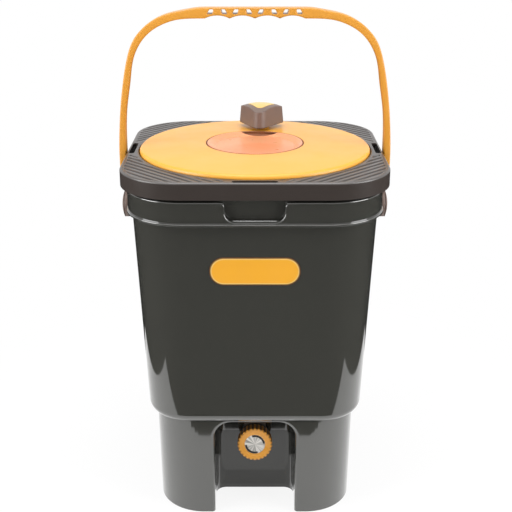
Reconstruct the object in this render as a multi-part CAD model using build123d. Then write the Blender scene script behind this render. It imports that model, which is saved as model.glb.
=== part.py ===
from build123d import *

import os
from math import cos, radians, sin, tan

# Kitchen compost bin with a drain tap, a square lid frame, a round cover and a swinging handle.
# Millimetres, +Z up, front towards -Y, origin on the floor under the middle of the bin.

# Shared clearances
OVERRUN = 2.0
RUNNING_GAP = 0.08
PUSH_GAP = 0.1
LOOSE_GAP = 0.4

# Main sizes: half width at the rim, and the heights of the rim, the step and the sump's floor
BIN_RIM_HALF = 139.4
RIM_Z = 416.5
STEP_Z = 128.0
SUMP_Z = 58.0
WALL = 3.0

# Bin, the tapered upper body
BIN_TAPER = 12.3
BIN_FOOT_HALF = BIN_RIM_HALF - BIN_TAPER
BIN_RIM_CORNER_SHARE = 0.445
BIN_FOOT_CORNER_SHARE = 0.393
BIN_RIM_CORNER = BIN_RIM_HALF * BIN_RIM_CORNER_SHARE
BIN_FOOT_CORNER = BIN_FOOT_HALF * BIN_FOOT_CORNER_SHARE
BIN_FOOT_ROUND = 12.0

# Base, the skirt that the bin stands on
STEP_IN = 7.4
BASE_TAPER = 1.7
BASE_TOP_HALF = BIN_FOOT_HALF - STEP_IN
BASE_FOOT_HALF = BASE_TOP_HALF - BASE_TAPER
BASE_TOP_CORNER_SHARE = 0.468
BASE_FOOT_CORNER_SHARE = 0.480
BASE_TOP_CORNER = BASE_TOP_HALF * BASE_TOP_CORNER_SHARE
BASE_FOOT_CORNER = BASE_FOOT_HALF * BASE_FOOT_CORNER_SHARE
OPENING_INSET = 7.7

# Recess in the front of the base, and the leaning panel that carries the tap
RECESS_HALF = 48.4
RECESS_TOP = STEP_Z - WALL
RECESS_ARCH = 21.0
RECESS_LIP_ROUND = 4.5
RECESS_DEPTH = 52.0
PANEL_FOOT_Y = RECESS_DEPTH - BASE_FOOT_HALF
PANEL_CORNER = 12.0
PANEL_LEAN = 6.0
RECESS_REACH = 40.0

# Collar round the bin below the lid: a flange with an upturned wall, notched for the fingers
LIP_DROP = 37.1
LIP_Z = RIM_Z - LIP_DROP
LIP_THICK = 2.6
LIP_SIDE_REACH = 4.1
LIP_FRONT_REACH = 8.1
LIP_SIDE_HALF = BIN_RIM_HALF + LIP_SIDE_REACH
LIP_FRONT_HALF = BIN_RIM_HALF + LIP_FRONT_REACH
LIP_CORNER = BIN_RIM_CORNER + LIP_SIDE_REACH
LIP_ROUND = 1.1
COLLAR_SIDE_INSET = 1.1
COLLAR_FRONT_INSET = 3.1
COLLAR_SIDE_HALF = LIP_SIDE_HALF - COLLAR_SIDE_INSET
COLLAR_FRONT_HALF = LIP_FRONT_HALF - COLLAR_FRONT_INSET
COLLAR_CORNER = LIP_CORNER - COLLAR_SIDE_INSET
COLLAR_THICK = 2.4
COLLAR_DROP = 10.7
COLLAR_TOP = RIM_Z - COLLAR_DROP
COLLAR_ROUND = 1.0
NOTCH_HALF = 33.8
NOTCH_CORNER = 12.0
NOTCH_FOOT_RISE = 0.4

# Lid frame, the square lid with grooved corners and a round hole for the seat
FRAME_OVERHANG = 10.2
FRAME_RISE = 11.9
FRAME_CORNER_SHARE = 0.468
FRAME_HALF = BIN_RIM_HALF + FRAME_OVERHANG
FRAME_CORNER = FRAME_HALF * FRAME_CORNER_SHARE
FRAME_TOP = RIM_Z + FRAME_RISE
FRAME_THICK = 3.0
FRAME_ROUND = 2.4
SKIRT_DROP = 7.0
SKIRT_Z = RIM_Z - SKIRT_DROP
SKIRT_THICK = 2.4
SLOT_LENGTH = 49.0
SLOT_WIDTH = 6.4
SLOT_INSET = 5.8
GROOVES = 7
GROOVE_PITCH = 8.0
GROOVE_WIDTH = 3.4
GROOVE_DEPTH = 1.0
GROOVE_TIP_INSET = 8.6
GROOVE_RIM_INSET = 5.0
GROOVE_SEAT_GAP = 2.0

# Seat ring, the round wall and ledge that carry the cover
SEAT_MARGIN = 12.7
SEAT_RADIUS = FRAME_HALF - SEAT_MARGIN
SEAT_WALL = 2.6
LEDGE_RISE = 5.0
LEDGE_Z = RIM_Z + LEDGE_RISE
LEDGE_THICK = 2.5
LEDGE_WIDTH = 10.9
THROAT_RADIUS = SEAT_RADIUS - LEDGE_WIDTH
COVER_SEAL_INSET = 1.0
COVER_SEAL_GAP = 2.3
COVER_SEAL_THICK = 2.0

# Handle pivots on both sides of the bin
PIVOT_DROP = 19.4
PIVOT_Z = LIP_Z - PIVOT_DROP
BOSS_RADIUS = 12.0
SPIGOT_RADIUS = 7.0
PIN_RADIUS = 4.0
PIN_LENGTH = 17.0
CAP_RIM = 0.7
CAP_DOME = 3.0
GUSSET_THICK = 3.0
GUSSET_DROP = 16.0

# Handle
ARM_GAP = 2.4
ARM_THICK = 8.0
ARM_IN = FRAME_HALF + ARM_GAP
ARM_OUT = ARM_IN + ARM_THICK
ARM_FOOT_RISE = 28.0
HANDLE_DEPTH = 17.0
HUB_RADIUS = 16.0
SHOE_THICK = 4.0
SHOE_OUT = ARM_IN + SHOE_THICK
SHOE_RISE = 42.0
SHOE_NECK_HALF = 6.0
BOW_RISE = 60.0
ARM_TOP_RISE = 118.0
HANDLE_RISE = 230.8
ARM_FOOT_Z = PIVOT_Z + ARM_FOOT_RISE
SHOE_TOP = PIVOT_Z + SHOE_RISE
BOW_Z = PIVOT_Z + BOW_RISE
ARM_TOP_Z = PIVOT_Z + ARM_TOP_RISE
HANDLE_TOP = PIVOT_Z + HANDLE_RISE
HANDLE_ROUND = 1.2
GRIP_THICK = 11.6
GRIP_HALF = 56.5
GRIP_BAYS = 4
SCALLOP_DEPTH = 3.4
GRIP_SKIN = 1.5
GRIP_HOLE_WIDE = 9.0
GRIP_HOLE_HIGH = 5.2
GRIP_HOLE_SLANT = 3.0
GRIP_HOLE_ROUND = 0.9
# Points of the bow, as shares of its half width and of its rise, up the arm and along the top
BOW_OUTER_SHARES = ((0.992, 0.176), (0.976, 0.340), (0.951, 0.504), (0.916, 0.662),
                    (0.860, 0.796), (0.785, 0.875), (0.625, 0.958), (0.475, 0.988))
BOW_INNER_SHARES = ((0.998, 0.188), (0.984, 0.364), (0.953, 0.540), (0.921, 0.710),
                    (0.883, 0.791), (0.829, 0.861), (0.755, 0.923), (0.664, 0.967))

# Cover, the round lid
COVER_GAP = 1.2
COVER_RADIUS = SEAT_RADIUS - COVER_GAP
COVER_RISE = 4.0
COVER_CROWN = 4.0
COVER_EDGE_Z = FRAME_TOP + COVER_RISE
COVER_CROWN_Z = COVER_EDGE_Z + COVER_CROWN
COVER_ROUND = 4.0
COVER_THICK = 2.8
PLUG_GAP = 5.0
PLUG_RADIUS = THROAT_RADIUS - PLUG_GAP
PLUG_THICK = 3.0
PLUG_DROP = 2.3
PLUG_Z = LEDGE_Z - PLUG_DROP

# Dish, the translucent insert in the middle of the cover
DISH_SHARE = 0.418
DISH_RADIUS = COVER_RADIUS * DISH_SHARE
DISH_GAP = 0.9
DISH_DROP = 0.5
DISH_TOP_Z = COVER_CROWN_Z - DISH_DROP
DISH_ROUND = 0.8
DISH_RIM_WIDTH = 2.0
DISH_FLOOR_INSET = 9.7
DISH_FLOOR_RADIUS = DISH_RADIUS - DISH_FLOOR_INSET
DISH_DEPTH = 4.0
DISH_FLOOR_Z = DISH_TOP_Z - DISH_DEPTH
DISH_WALL = 2.0
WELL_DROP = 1.2
WELL_Z = COVER_EDGE_Z - WELL_DROP
WELL_THICK = 2.2
NECK_INSET = 3.9
NECK_RADIUS = DISH_RADIUS - NECK_INSET
NECK_RISE = 0.5
NECK_Z = LEDGE_Z + NECK_RISE
GASKET_THICK = 1.0
RING_REACH = 3.3
RING_RADIUS = DISH_RADIUS + RING_REACH
RING_THICK = 4.0

# Latch, the turning knob behind the dish with its tongue under the cover
LATCH_X = 7.5
LATCH_MARGIN = 51.7
LATCH_Y = COVER_RADIUS - LATCH_MARGIN
KNOB_RISE = 3.1
KNOB_HIGH = 23.0
KNOB_Z = COVER_CROWN_Z + KNOB_RISE
KNOB_TOP = KNOB_Z + KNOB_HIGH
KNOB_LOBE = 8.0
KNOB_REACH = 29.6
KNOB_DRAFT = 2.2
KNOB_ROUND = 1.4
KNOB_SCOOP = 90.0
KNOB_CAP_REACH = 20.0
KNOB_CAP_LOBE = 4.5
KNOB_CAP_SCOOP = 60.0
KNOB_CAP_DEPTH = 2.2
KNOB_CAP_PROUD = 1.0
KNOB_SOCKET = 12.0
PAD_RADIUS = 11.0
PAD_GAP = 0.6
PAD_Z = KNOB_Z - PAD_GAP
BARREL_RADIUS = 8.5
SPINDLE_RADIUS = 4.0
ORING_WIDTH = 2.0
ORING_HIGH = 1.8
TONGUE_THICK = 3.4
TONGUE_WIDTH = 14.0
TONGUE_BITE = 4.0
TONGUE_REACH = THROAT_RADIUS + TONGUE_BITE - LATCH_Y
TONGUE_PAD_LONG = 4.5
TONGUE_PAD_HIGH = 1.4
TONGUE_CLEARANCE = 0.6
TONGUE_Z = LEDGE_Z - LEDGE_THICK - TONGUE_CLEARANCE - TONGUE_PAD_HIGH - TONGUE_THICK
LATCH_WASHER_RADIUS = 9.0
LATCH_WASHER_THICK = 1.6
BARREL_Z = TONGUE_Z + TONGUE_THICK + LATCH_WASHER_THICK + 2 * PUSH_GAP
LATCH_NUT_FLATS = 13.0
LATCH_NUT_HIGH = 5.0
SPINDLE_TAIL = 1.6
SPINDLE_Z = TONGUE_Z - LATCH_NUT_HIGH - SPINDLE_TAIL

# Strainer, the perforated plate on the posts of the sump
STRAINER_LIFT = 1.0
STRAINER_GAP = 6.6
STRAINER_Z = STEP_Z + WALL + STRAINER_LIFT
STRAINER_HALF = BIN_FOOT_HALF - WALL - STRAINER_GAP
STRAINER_CORNER = BIN_FOOT_CORNER - STRAINER_GAP
STRAINER_THICK = 2.6
STRAINER_HOLES = 7
STRAINER_PITCH_SHARE = 0.23
STRAINER_HOLE_RADIUS = 3.5
POST_RADIUS = 4.5
POST_SHARE = 0.69
TAB_WIDTH = 38.0
TAB_HIGH = 16.0
TAB_DEPTH = 7.0
TAB_ROUND = 3.0

# Tap, measured along its own axis from the outer face of the panel
TAP_RISE = 17.4
TAP_Z = SUMP_Z + TAP_RISE
SHANK_RADIUS = 10.5
SHANK_BACK = 22.0
TAP_WASHER_RADIUS = 15.5
TAP_WASHER_THICK = 2.0
TAP_FLANGE_RADIUS = 17.0
TAP_FLANGE_THICK = 3.5
TAP_BARREL_RADIUS = 12.0
TAP_BARREL_END = 19.8
STOP_HALF = 13.4
STOP_TOP = 24.0
STOP_START = 14.0
STOP_THICK = 3.6
SPOUT_AT = 12.0
SPOUT_RADIUS = 6.6
SPOUT_BORE = 4.6
SPOUT_DROP = 19.5
VALVE_RADIUS = 6.0
VALVE_BORE = 3.6
VALVE_BACK = 20.0
VALVE_STEM = 4.0
VALVE_END = 30.0
TAP_RING_WIDE = 1.6
TAP_RING_DEEP = 1.1
TAP_RING_PLACES = (2.0, 17.4)
TAP_NUT_FLATS = 27.0
TAP_NUT_THICK = 8.0
WHEEL_START = 20.4
WHEEL_END = 34.0
WHEEL_RADIUS = 21.3
WHEEL_ROUND = 1.4
WHEEL_HOLLOW = 8.0
WHEEL_WALL = 3.0
WHEEL_HUB_RADIUS = 8.0
FLUTES = 26
FLUTE_RADIUS = 1.5
FLUTE_BITE_SHARE = 0.55
DISC_RADIUS = 12.6
DISC_THICK = 2.4
DISC_SUNK = 0.6
MARK_INNER = 10.1
MARK_OUTER = 11.7
MARK_HIGH = 0.35
MARK_ARCS = ((5, 103), (185, 103))


def slab(width, depth, corner, z):
    """Rounded rectangle lying at height z."""
    return Pos(0, 0, z) * RectangleRounded(width, depth, corner)


def block(half_x, half_y, corner, low, high):
    """Upright prism of a rounded rectangle."""
    return extrude(slab(2 * half_x, 2 * half_y, corner, low), high - low)


def drum(radius, low, high):
    """Upright cylinder on the middle axis."""
    return Pos(0, 0, low) * Cylinder(radius, high - low, align=(Align.CENTER, Align.CENTER, Align.MIN))


def tube(outer, inner, low, high):
    """Upright ring on the middle axis."""
    return drum(outer, low, high) - drum(inner, low - OVERRUN, high + OVERRUN)


def rod(radius, start, end, y, z):
    """Cylinder along X between two places."""
    lying = Pos(start, y, z) * Rot(0, 90, 0)
    return lying * Cylinder(radius, end - start, align=(Align.CENTER, Align.CENTER, Align.MIN))


def bin_slab(z, grow=0):
    """Section of the tapered bin at height z, grown or shrunk all round."""
    share = (z - STEP_Z) / (RIM_Z - STEP_Z)
    half = BIN_FOOT_HALF + share * (BIN_RIM_HALF - BIN_FOOT_HALF) + grow
    corner = BIN_FOOT_CORNER + share * (BIN_RIM_CORNER - BIN_FOOT_CORNER) + grow
    return slab(2 * half, 2 * half, corner, z)


def base_slab(z, grow=0):
    """Section of the base at height z, grown or shrunk all round."""
    share = z / STEP_Z
    half = BASE_FOOT_HALF + share * (BASE_TOP_HALF - BASE_FOOT_HALF) + grow
    corner = BASE_FOOT_CORNER + share * (BASE_TOP_CORNER - BASE_FOOT_CORNER) + grow
    return slab(2 * half, 2 * half, corner, z)


def panel_plane(back=0):
    """Plane of the leaning tap panel, moved back into the bin."""
    lean = radians(PANEL_LEAN)
    outward = Vector(0, -cos(lean), sin(lean))
    foot = Vector(0, PANEL_FOOT_Y, 0) - outward * back
    return Plane(origin=foot, x_dir=(1, 0, 0), z_dir=outward)


def tap_plane():
    """Plane on the outer face of the panel with its normal along the tap."""
    lean = radians(PANEL_LEAN)
    outward = Vector(0, -cos(lean), sin(lean))
    seat = Vector(0, PANEL_FOOT_Y + TAP_Z * tan(lean), TAP_Z)
    return Plane(origin=seat, x_dir=(1, 0, 0), z_dir=outward)


def recess(grow=0):
    """Arched recess in front of the tap panel, or its outside when grown by a wall."""
    half = RECESS_HALF + grow
    top = RECESS_TOP + grow
    front_y = BASE_TOP_HALF + OVERRUN
    back_y = PANEL_FOOT_Y + RECESS_REACH
    arch = Pos(0, (top - OVERRUN) / 2) * Rectangle(2 * half, top + OVERRUN)
    arch = fillet(arch.vertices().group_by(Axis.Y)[-1], RECESS_ARCH + grow)
    solid = extrude(Plane((0, back_y, 0), x_dir=(1, 0, 0), z_dir=(0, -1, 0)) * arch, front_y + back_y)
    solid = split(solid, bisect_by=panel_plane(grow), keep=Keep.TOP)
    back = solid.faces().sort_by(Axis.Y)[-1]
    round_edges = back.edges().filter_by(lambda edge: edge.center().Z > 0)
    return fillet(round_edges, PANEL_CORNER + grow)


def bin_outside():
    """Outside of the bin as a solid, with its rounded foot."""
    solid = loft([bin_slab(STEP_Z), bin_slab(RIM_Z)])
    return fillet(solid.faces().sort_by(Axis.Z)[0].edges(), BIN_FOOT_ROUND)


def floor_opening(low, high):
    """Opening between the bin and the sump."""
    half = BASE_TOP_HALF - OPENING_INSET
    return block(half, half, BASE_TOP_CORNER - OPENING_INSET, low, high)


def base_outside():
    """Outside of the base with the rounded opening of the recess."""
    solid = loft([base_slab(0), base_slab(STEP_Z + BIN_FOOT_ROUND)])
    solid -= recess()
    front = solid.faces().filter_by(lambda face: face.normal_at().Y < -cos(radians(PANEL_LEAN)))
    front = front.sort_by(Axis.Y)[0]
    lip = front.edges().filter_by(lambda edge: abs(edge.center().X) < RECESS_HALF + PUSH_GAP)
    lip = lip.filter_by(lambda edge: 0 < edge.center().Z < RECESS_TOP + PUSH_GAP)
    solid = fillet(lip, RECESS_LIP_ROUND)
    return split(solid, bisect_by=Plane.XY.offset(STEP_Z), keep=Keep.BOTTOM)


def make_collar_band():
    """Flange and upturned wall round the bin, with the finger notch in front."""
    lip_top = LIP_Z + LIP_THICK
    flange = block(LIP_SIDE_HALF, LIP_FRONT_HALF, LIP_CORNER, LIP_Z, lip_top)
    flange = fillet(flange.edges().group_by(Axis.Z)[0] + flange.edges().group_by(Axis.Z)[-1], LIP_ROUND)
    wall = block(COLLAR_SIDE_HALF, COLLAR_FRONT_HALF, COLLAR_CORNER, LIP_Z, COLLAR_TOP)
    gutter = block(COLLAR_SIDE_HALF - COLLAR_THICK, COLLAR_FRONT_HALF - COLLAR_THICK,
                   COLLAR_CORNER - COLLAR_THICK, lip_top, COLLAR_TOP + OVERRUN)
    wall -= gutter
    foot = lip_top + NOTCH_FOOT_RISE
    high = COLLAR_TOP + OVERRUN - foot
    notch = Pos(0, foot + high / 2) * Rectangle(2 * NOTCH_HALF, high)
    notch = fillet(notch.vertices().group_by(Axis.Y)[0], NOTCH_CORNER)
    behind = COLLAR_THICK - COLLAR_FRONT_HALF + OVERRUN
    notch_plane = Plane((0, behind, 0), x_dir=(1, 0, 0), z_dir=(0, -1, 0))
    wall -= extrude(notch_plane * notch, COLLAR_THICK + 2 * OVERRUN)
    wall = fillet(wall.edges().group_by(Axis.Z)[-1], COLLAR_ROUND)
    return flange + wall - bin_outside()


def make_pivot(side):
    """Boss, spigot and gusset that carry one end of the handle."""
    face = ARM_IN - LOOSE_GAP
    root = BIN_FOOT_HALF
    boss = rod(BOSS_RADIUS, root, face, 0, PIVOT_Z)
    spigot = rod(SPIGOT_RADIUS, face, SHOE_OUT + LOOSE_GAP / 2, 0, PIVOT_Z)
    low = PIVOT_Z - GUSSET_DROP
    reach = LIP_SIDE_HALF - root - LIP_ROUND
    gusset = Pos(root + reach / 2, 0, (LIP_Z + low) / 2) * Box(reach, GUSSET_THICK, LIP_Z - low)
    pivot = boss + spigot + gusset
    return pivot if side > 0 else mirror(pivot, Plane.YZ)


def make_bin_shell():
    """Tapered bin with its open floor and the pivots of the handle."""
    shell = bin_outside()
    shell += make_pivot(1)
    shell += make_pivot(-1)
    inside = loft([bin_slab(STEP_Z + WALL, -WALL), bin_slab(RIM_Z + OVERRUN, -WALL)])
    inside = fillet(inside.faces().sort_by(Axis.Z)[0].edges(), BIN_FOOT_ROUND - WALL)
    shell -= inside
    shell -= floor_opening(STEP_Z - OVERRUN, STEP_Z + WALL + OVERRUN)
    for side in (1, -1):
        start = side * (SHOE_OUT + OVERRUN)
        end = side * (SHOE_OUT + LOOSE_GAP - PIN_LENGTH - PUSH_GAP)
        shell -= rod(PIN_RADIUS + PUSH_GAP, min(start, end), max(start, end), 0, PIVOT_Z)
    return shell


def make_base_skirt():
    """Base with the sump, the posts of the strainer, the tap panel and an open underside."""
    behind = recess(WALL)
    sump = loft([base_slab(SUMP_Z, -WALL), base_slab(STEP_Z - WALL, -WALL)])
    sump += floor_opening(STEP_Z - WALL - OVERRUN, STEP_Z + OVERRUN)
    hollow = loft([base_slab(-OVERRUN, -WALL), base_slab(SUMP_Z - WALL, -WALL)])
    base = base_outside() - (sump - behind) - (hollow - behind)
    post_at = STRAINER_HALF * POST_SHARE
    post = drum(POST_RADIUS, SUMP_Z - WALL, STRAINER_Z)
    base += [Pos(x, y, 0) * post for x in (-post_at, post_at) for y in (-post_at, post_at)]
    bore = Cylinder(SHANK_RADIUS + PUSH_GAP, 4 * WALL)
    return base - tap_plane().location * bore


def make_pivot_pin(side):
    """Domed pin that keeps one end of the handle on its spigot."""
    ball = (HUB_RADIUS ** 2 + CAP_DOME ** 2) / (2 * CAP_DOME)
    top = CAP_RIM + CAP_DOME
    shoulder = top - ball + (ball ** 2 - (HUB_RADIUS / 2) ** 2) ** 0.5
    outline = Polyline((0, top), (0, -PIN_LENGTH), (PIN_RADIUS, -PIN_LENGTH), (PIN_RADIUS, 0),
                       (HUB_RADIUS, 0), (HUB_RADIUS, CAP_RIM))
    dome = ThreePointArc((HUB_RADIUS, CAP_RIM), (HUB_RADIUS / 2, shoulder), (0, top))
    pin = revolve(Plane.XZ * make_face([outline, dome]), Axis.Z)
    pin = Pos(SHOE_OUT + LOOSE_GAP, 0, PIVOT_Z) * Rot(0, 90, 0) * pin
    return pin if side > 0 else mirror(pin, Plane.YZ)


def make_handle_shoe(side):
    """End piece of the handle: an eye on the spigot and a neck let into the arm."""
    shoe = rod(HUB_RADIUS, ARM_IN, SHOE_OUT, 0, PIVOT_Z)
    middle = (ARM_IN + SHOE_OUT) / 2
    shoe += Pos(middle, 0, PIVOT_Z + SHOE_RISE / 2) * Box(SHOE_THICK, 2 * SHOE_NECK_HALF, SHOE_RISE)
    shoe -= rod(SPIGOT_RADIUS + RUNNING_GAP, ARM_IN - OVERRUN, SHOE_OUT + OVERRUN, 0, PIVOT_Z)
    return shoe if side > 0 else mirror(shoe, Plane.YZ)


def bow_points(shares, half, rise):
    """Points of one half of the bow from shares of its width and rise."""
    return [(share_x * half, BOW_Z + share_z * rise) for share_x, share_z in shares]


def half_bow():
    """Right half of the handle's outline, between its outer and inner edges."""
    rise = HANDLE_TOP - BOW_Z
    inner_rise = rise - GRIP_THICK
    outer = [(ARM_OUT, BOW_Z)] + bow_points(BOW_OUTER_SHARES, ARM_OUT, rise)
    inner = [(ARM_IN, BOW_Z)] + bow_points(BOW_INNER_SHARES, ARM_IN, inner_rise)
    outer_end = (GRIP_HALF, HANDLE_TOP)
    inner_end = (GRIP_HALF, BOW_Z + inner_rise)
    outer_edge = Spline(*outer, outer_end, tangents=[(0, 1), (-1, 0)])
    inner_edge = Spline(*inner, inner_end, tangents=[(0, 1), (-1, 0)])
    arm = Polyline((ARM_OUT, BOW_Z), (ARM_OUT, ARM_FOOT_Z), (ARM_IN, ARM_FOOT_Z), (ARM_IN, BOW_Z))
    grip = Polyline(inner_end, (0, BOW_Z + inner_rise), (0, HANDLE_TOP), outer_end)
    return make_face([outer_edge, inner_edge] + arm.edges() + grip.edges())


def make_grip_cuts():
    """Finger scallops under the grip and the slanted holes between them."""
    low = HANDLE_TOP - GRIP_THICK
    bay = 2 * GRIP_HALF / GRIP_BAYS
    scallop = (SCALLOP_DEPTH ** 2 + (bay / 2) ** 2) / (2 * SCALLOP_DEPTH)
    hole_z = HANDLE_TOP - GRIP_SKIN - GRIP_HOLE_HIGH / 2
    cuts = []
    for index in range(GRIP_BAYS):
        middle = -GRIP_HALF + (index + 0.5) * bay
        cuts.append(Pos(middle, 0, low + SCALLOP_DEPTH - scallop) * Rot(90, 0, 0)
                    * Cylinder(scallop, HANDLE_DEPTH + 2 * OVERRUN))
        for side in (1, -1):
            tip = side * GRIP_HOLE_WIDE / 2
            slant = side * GRIP_HOLE_SLANT / 2
            top = GRIP_HOLE_HIGH / 2
            corners = [(slant - tip, top), (slant, top), (tip, -top), (-slant, -top)]
            hole = make_face(Polyline(*corners, close=True))
            hole = fillet(hole.vertices(), GRIP_HOLE_ROUND)
            place = Plane((middle + side * bay / 4, HANDLE_DEPTH / 2 + OVERRUN, hole_z),
                          x_dir=(1, 0, 0), z_dir=(0, -1, 0))
            cuts.append(extrude(place * hole, HANDLE_DEPTH + 2 * OVERRUN))
    return cuts


def whole_bow():
    """Bow from foot to foot with its long edges rounded."""
    upright = Plane((0, HANDLE_DEPTH / 2, 0), x_dir=(1, 0, 0), z_dir=(0, -1, 0))
    right = extrude(upright * half_bow(), HANDLE_DEPTH)
    bow = right + mirror(right, Plane.YZ)
    long_edges = bow.edges().filter_by(lambda edge: edge.center().Z > ARM_FOOT_Z + PUSH_GAP)
    long_edges = long_edges.filter_by(lambda edge: abs(abs(edge.center().Y) - HANDLE_DEPTH / 2) < PUSH_GAP)
    return fillet(long_edges, HANDLE_ROUND)


def make_handle_arm(side):
    """Lower length of the handle on one side, with a pocket for its shoe."""
    middle = (ARM_FOOT_Z + ARM_TOP_Z) / 2
    reach = Box(ARM_OUT, 2 * HANDLE_DEPTH, ARM_TOP_Z - ARM_FOOT_Z)
    arm = whole_bow() & Pos(side * ARM_OUT / 2, 0, middle) * reach
    deep = SHOE_THICK + PUSH_GAP + OVERRUN
    high = SHOE_TOP - ARM_FOOT_Z + PUSH_GAP + OVERRUN
    pocket = Box(deep, 2 * (SHOE_NECK_HALF + PUSH_GAP), high)
    place_x = ARM_IN - OVERRUN + deep / 2
    place_z = ARM_FOOT_Z - OVERRUN + high / 2
    return arm - Pos(side * place_x, 0, place_z) * pocket


def make_handle():
    """Upper length of the handle between its arms, with a pierced grip."""
    high = HANDLE_TOP - ARM_TOP_Z
    bow = whole_bow() & Pos(0, 0, ARM_TOP_Z + high / 2) * Box(2 * ARM_OUT, 2 * HANDLE_DEPTH, high)
    for cut in make_grip_cuts():
        bow -= cut
    return bow


def make_grooves():
    """Slanting grooves across one corner of the lid, from the rim to near the seat."""
    tip = (FRAME_HALF - FRAME_CORNER) * 2 ** 0.5 + FRAME_CORNER - GROOVE_TIP_INSET
    half = FRAME_HALF - GROOVE_RIM_INSET
    foot = FRAME_TOP - GROOVE_DEPTH
    field = block(half, half, FRAME_CORNER - GROOVE_RIM_INSET, foot, FRAME_TOP + OVERRUN)
    field -= drum(SEAT_RADIUS + SEAT_WALL + GROOVE_SEAT_GAP, foot - OVERRUN, FRAME_TOP + 2 * OVERRUN)
    bar = Box(GROOVE_WIDTH, 2 * FRAME_HALF, 2 * OVERRUN)
    bars = [Rot(0, 0, 45) * Pos(tip - turn * GROOVE_PITCH, 0, FRAME_TOP) * bar for turn in range(GROOVES)]
    quarter = Pos(FRAME_HALF / 2, FRAME_HALF / 2, FRAME_TOP) * Box(FRAME_HALF, FRAME_HALF, 4 * OVERRUN)
    return field & quarter & Compound(children=bars)


def make_lid_frame():
    """Square lid with a skirt, slots, grooved corners and a rib over the rim."""
    under = FRAME_TOP - FRAME_THICK
    shell = block(FRAME_HALF, FRAME_HALF, FRAME_CORNER, SKIRT_Z, FRAME_TOP)
    shell = fillet(shell.edges().group_by(Axis.Z)[-1], FRAME_ROUND)
    inner = FRAME_HALF - SKIRT_THICK
    frame = shell - block(inner, inner, FRAME_CORNER - SKIRT_THICK, SKIRT_Z - OVERRUN, under)
    low = LEDGE_Z - LEDGE_THICK
    rib = block(BIN_RIM_HALF, BIN_RIM_HALF, BIN_RIM_CORNER, low, under + FRAME_THICK / 2)
    rib_inner = BIN_RIM_HALF - WALL
    rib -= block(rib_inner, rib_inner, BIN_RIM_CORNER - WALL, low - OVERRUN, FRAME_TOP)
    frame += rib
    frame -= drum(SEAT_RADIUS + SEAT_WALL, SKIRT_Z, FRAME_TOP + OVERRUN)
    slot = Pos(0, SLOT_INSET - FRAME_HALF, FRAME_TOP) * Box(SLOT_LENGTH, SLOT_WIDTH, 4 * FRAME_THICK)
    slot = fillet(slot.edges().filter_by(Axis.Z), SLOT_WIDTH / 2 - PUSH_GAP)
    grooves = make_grooves().solids()
    for turn in range(4):
        about = Rot(0, 0, 90 * turn)
        frame -= about * slot
        frame -= [about * groove for groove in grooves]
    return frame


def make_seat_ring():
    """Round wall in the lid frame with the ledge that the cover stands on."""
    outer = SEAT_RADIUS + SEAT_WALL
    ledge = tube(outer, THROAT_RADIUS, LEDGE_Z - LEDGE_THICK, LEDGE_Z)
    return ledge + tube(outer, SEAT_RADIUS, LEDGE_Z, FRAME_TOP)


def make_rim_seal():
    """Square seal between the rim of the bin and the rib of the frame."""
    inner = BIN_RIM_HALF - WALL
    high = LEDGE_Z - LEDGE_THICK
    seal = block(BIN_RIM_HALF, BIN_RIM_HALF, BIN_RIM_CORNER, RIM_Z, high)
    return seal - block(inner, inner, BIN_RIM_CORNER - WALL, RIM_Z - OVERRUN, high + OVERRUN)


def make_cover_seal():
    """Round seal between the ledge of the frame and the cover."""
    outer = SEAT_RADIUS - COVER_SEAL_GAP
    return tube(outer, THROAT_RADIUS + COVER_SEAL_INSET, LEDGE_Z, LEDGE_Z + COVER_SEAL_THICK)


def crown(drop, outer, inner):
    """Arc of the cover's crown at a depth below its top, from outer to inner radius."""
    fall = COVER_CROWN_Z - COVER_EDGE_Z
    ball = (COVER_RADIUS ** 2 + fall ** 2) / (2 * fall)

    def height(radius):
        return COVER_CROWN_Z - drop - ball + (ball ** 2 - radius ** 2) ** 0.5

    middle = (outer + inner) / 2
    return ThreePointArc((outer, height(outer)), (middle, height(middle)), (inner, height(inner)))


def make_cover_shell():
    """Crowned shell of the cover with its edge, plug ring and well for the dish."""
    well = DISH_RADIUS + DISH_GAP
    foot = LEDGE_Z + COVER_SEAL_THICK
    edge_inner = COVER_RADIUS - COVER_THICK
    seat_low = WELL_Z - WELL_THICK
    hole = NECK_RADIUS + PUSH_GAP
    top = crown(0, COVER_RADIUS, well)
    below = crown(COVER_THICK, edge_inner, well + COVER_THICK)
    loop = top + Polyline(top @ 1, (well, WELL_Z), (hole, WELL_Z), (hole, seat_low),
                          (well + COVER_THICK, seat_low), below @ 1)
    loop += below
    loop += Polyline(below @ 0, (edge_inner, foot), (COVER_RADIUS, foot), top @ 0)
    profile = make_face(loop.edges())
    rim = profile.vertices().group_by(Axis.X)[-1].sort_by(Axis.Y)[-1]
    profile = fillet(rim, COVER_ROUND)
    shell = revolve(Plane.XZ * profile, Axis.Z)
    return shell + tube(PLUG_RADIUS, PLUG_RADIUS - PLUG_THICK, PLUG_Z, COVER_EDGE_Z - COVER_THICK / 2)


def make_cover():
    """Cover with the pad and barrel that carry the latch."""
    at = Pos(LATCH_X, LATCH_Y, 0)
    cover = make_cover_shell()
    cover += at * drum(PAD_RADIUS, COVER_EDGE_Z, PAD_Z)
    cover += at * drum(BARREL_RADIUS, BARREL_Z, COVER_EDGE_Z)
    cover -= at * drum(SPINDLE_RADIUS + RUNNING_GAP, BARREL_Z - OVERRUN, PAD_Z + OVERRUN)
    pocket = SPINDLE_RADIUS + RUNNING_GAP + ORING_WIDTH
    return cover - at * drum(pocket, PAD_Z - ORING_HIGH - PUSH_GAP, PAD_Z + OVERRUN)


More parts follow.
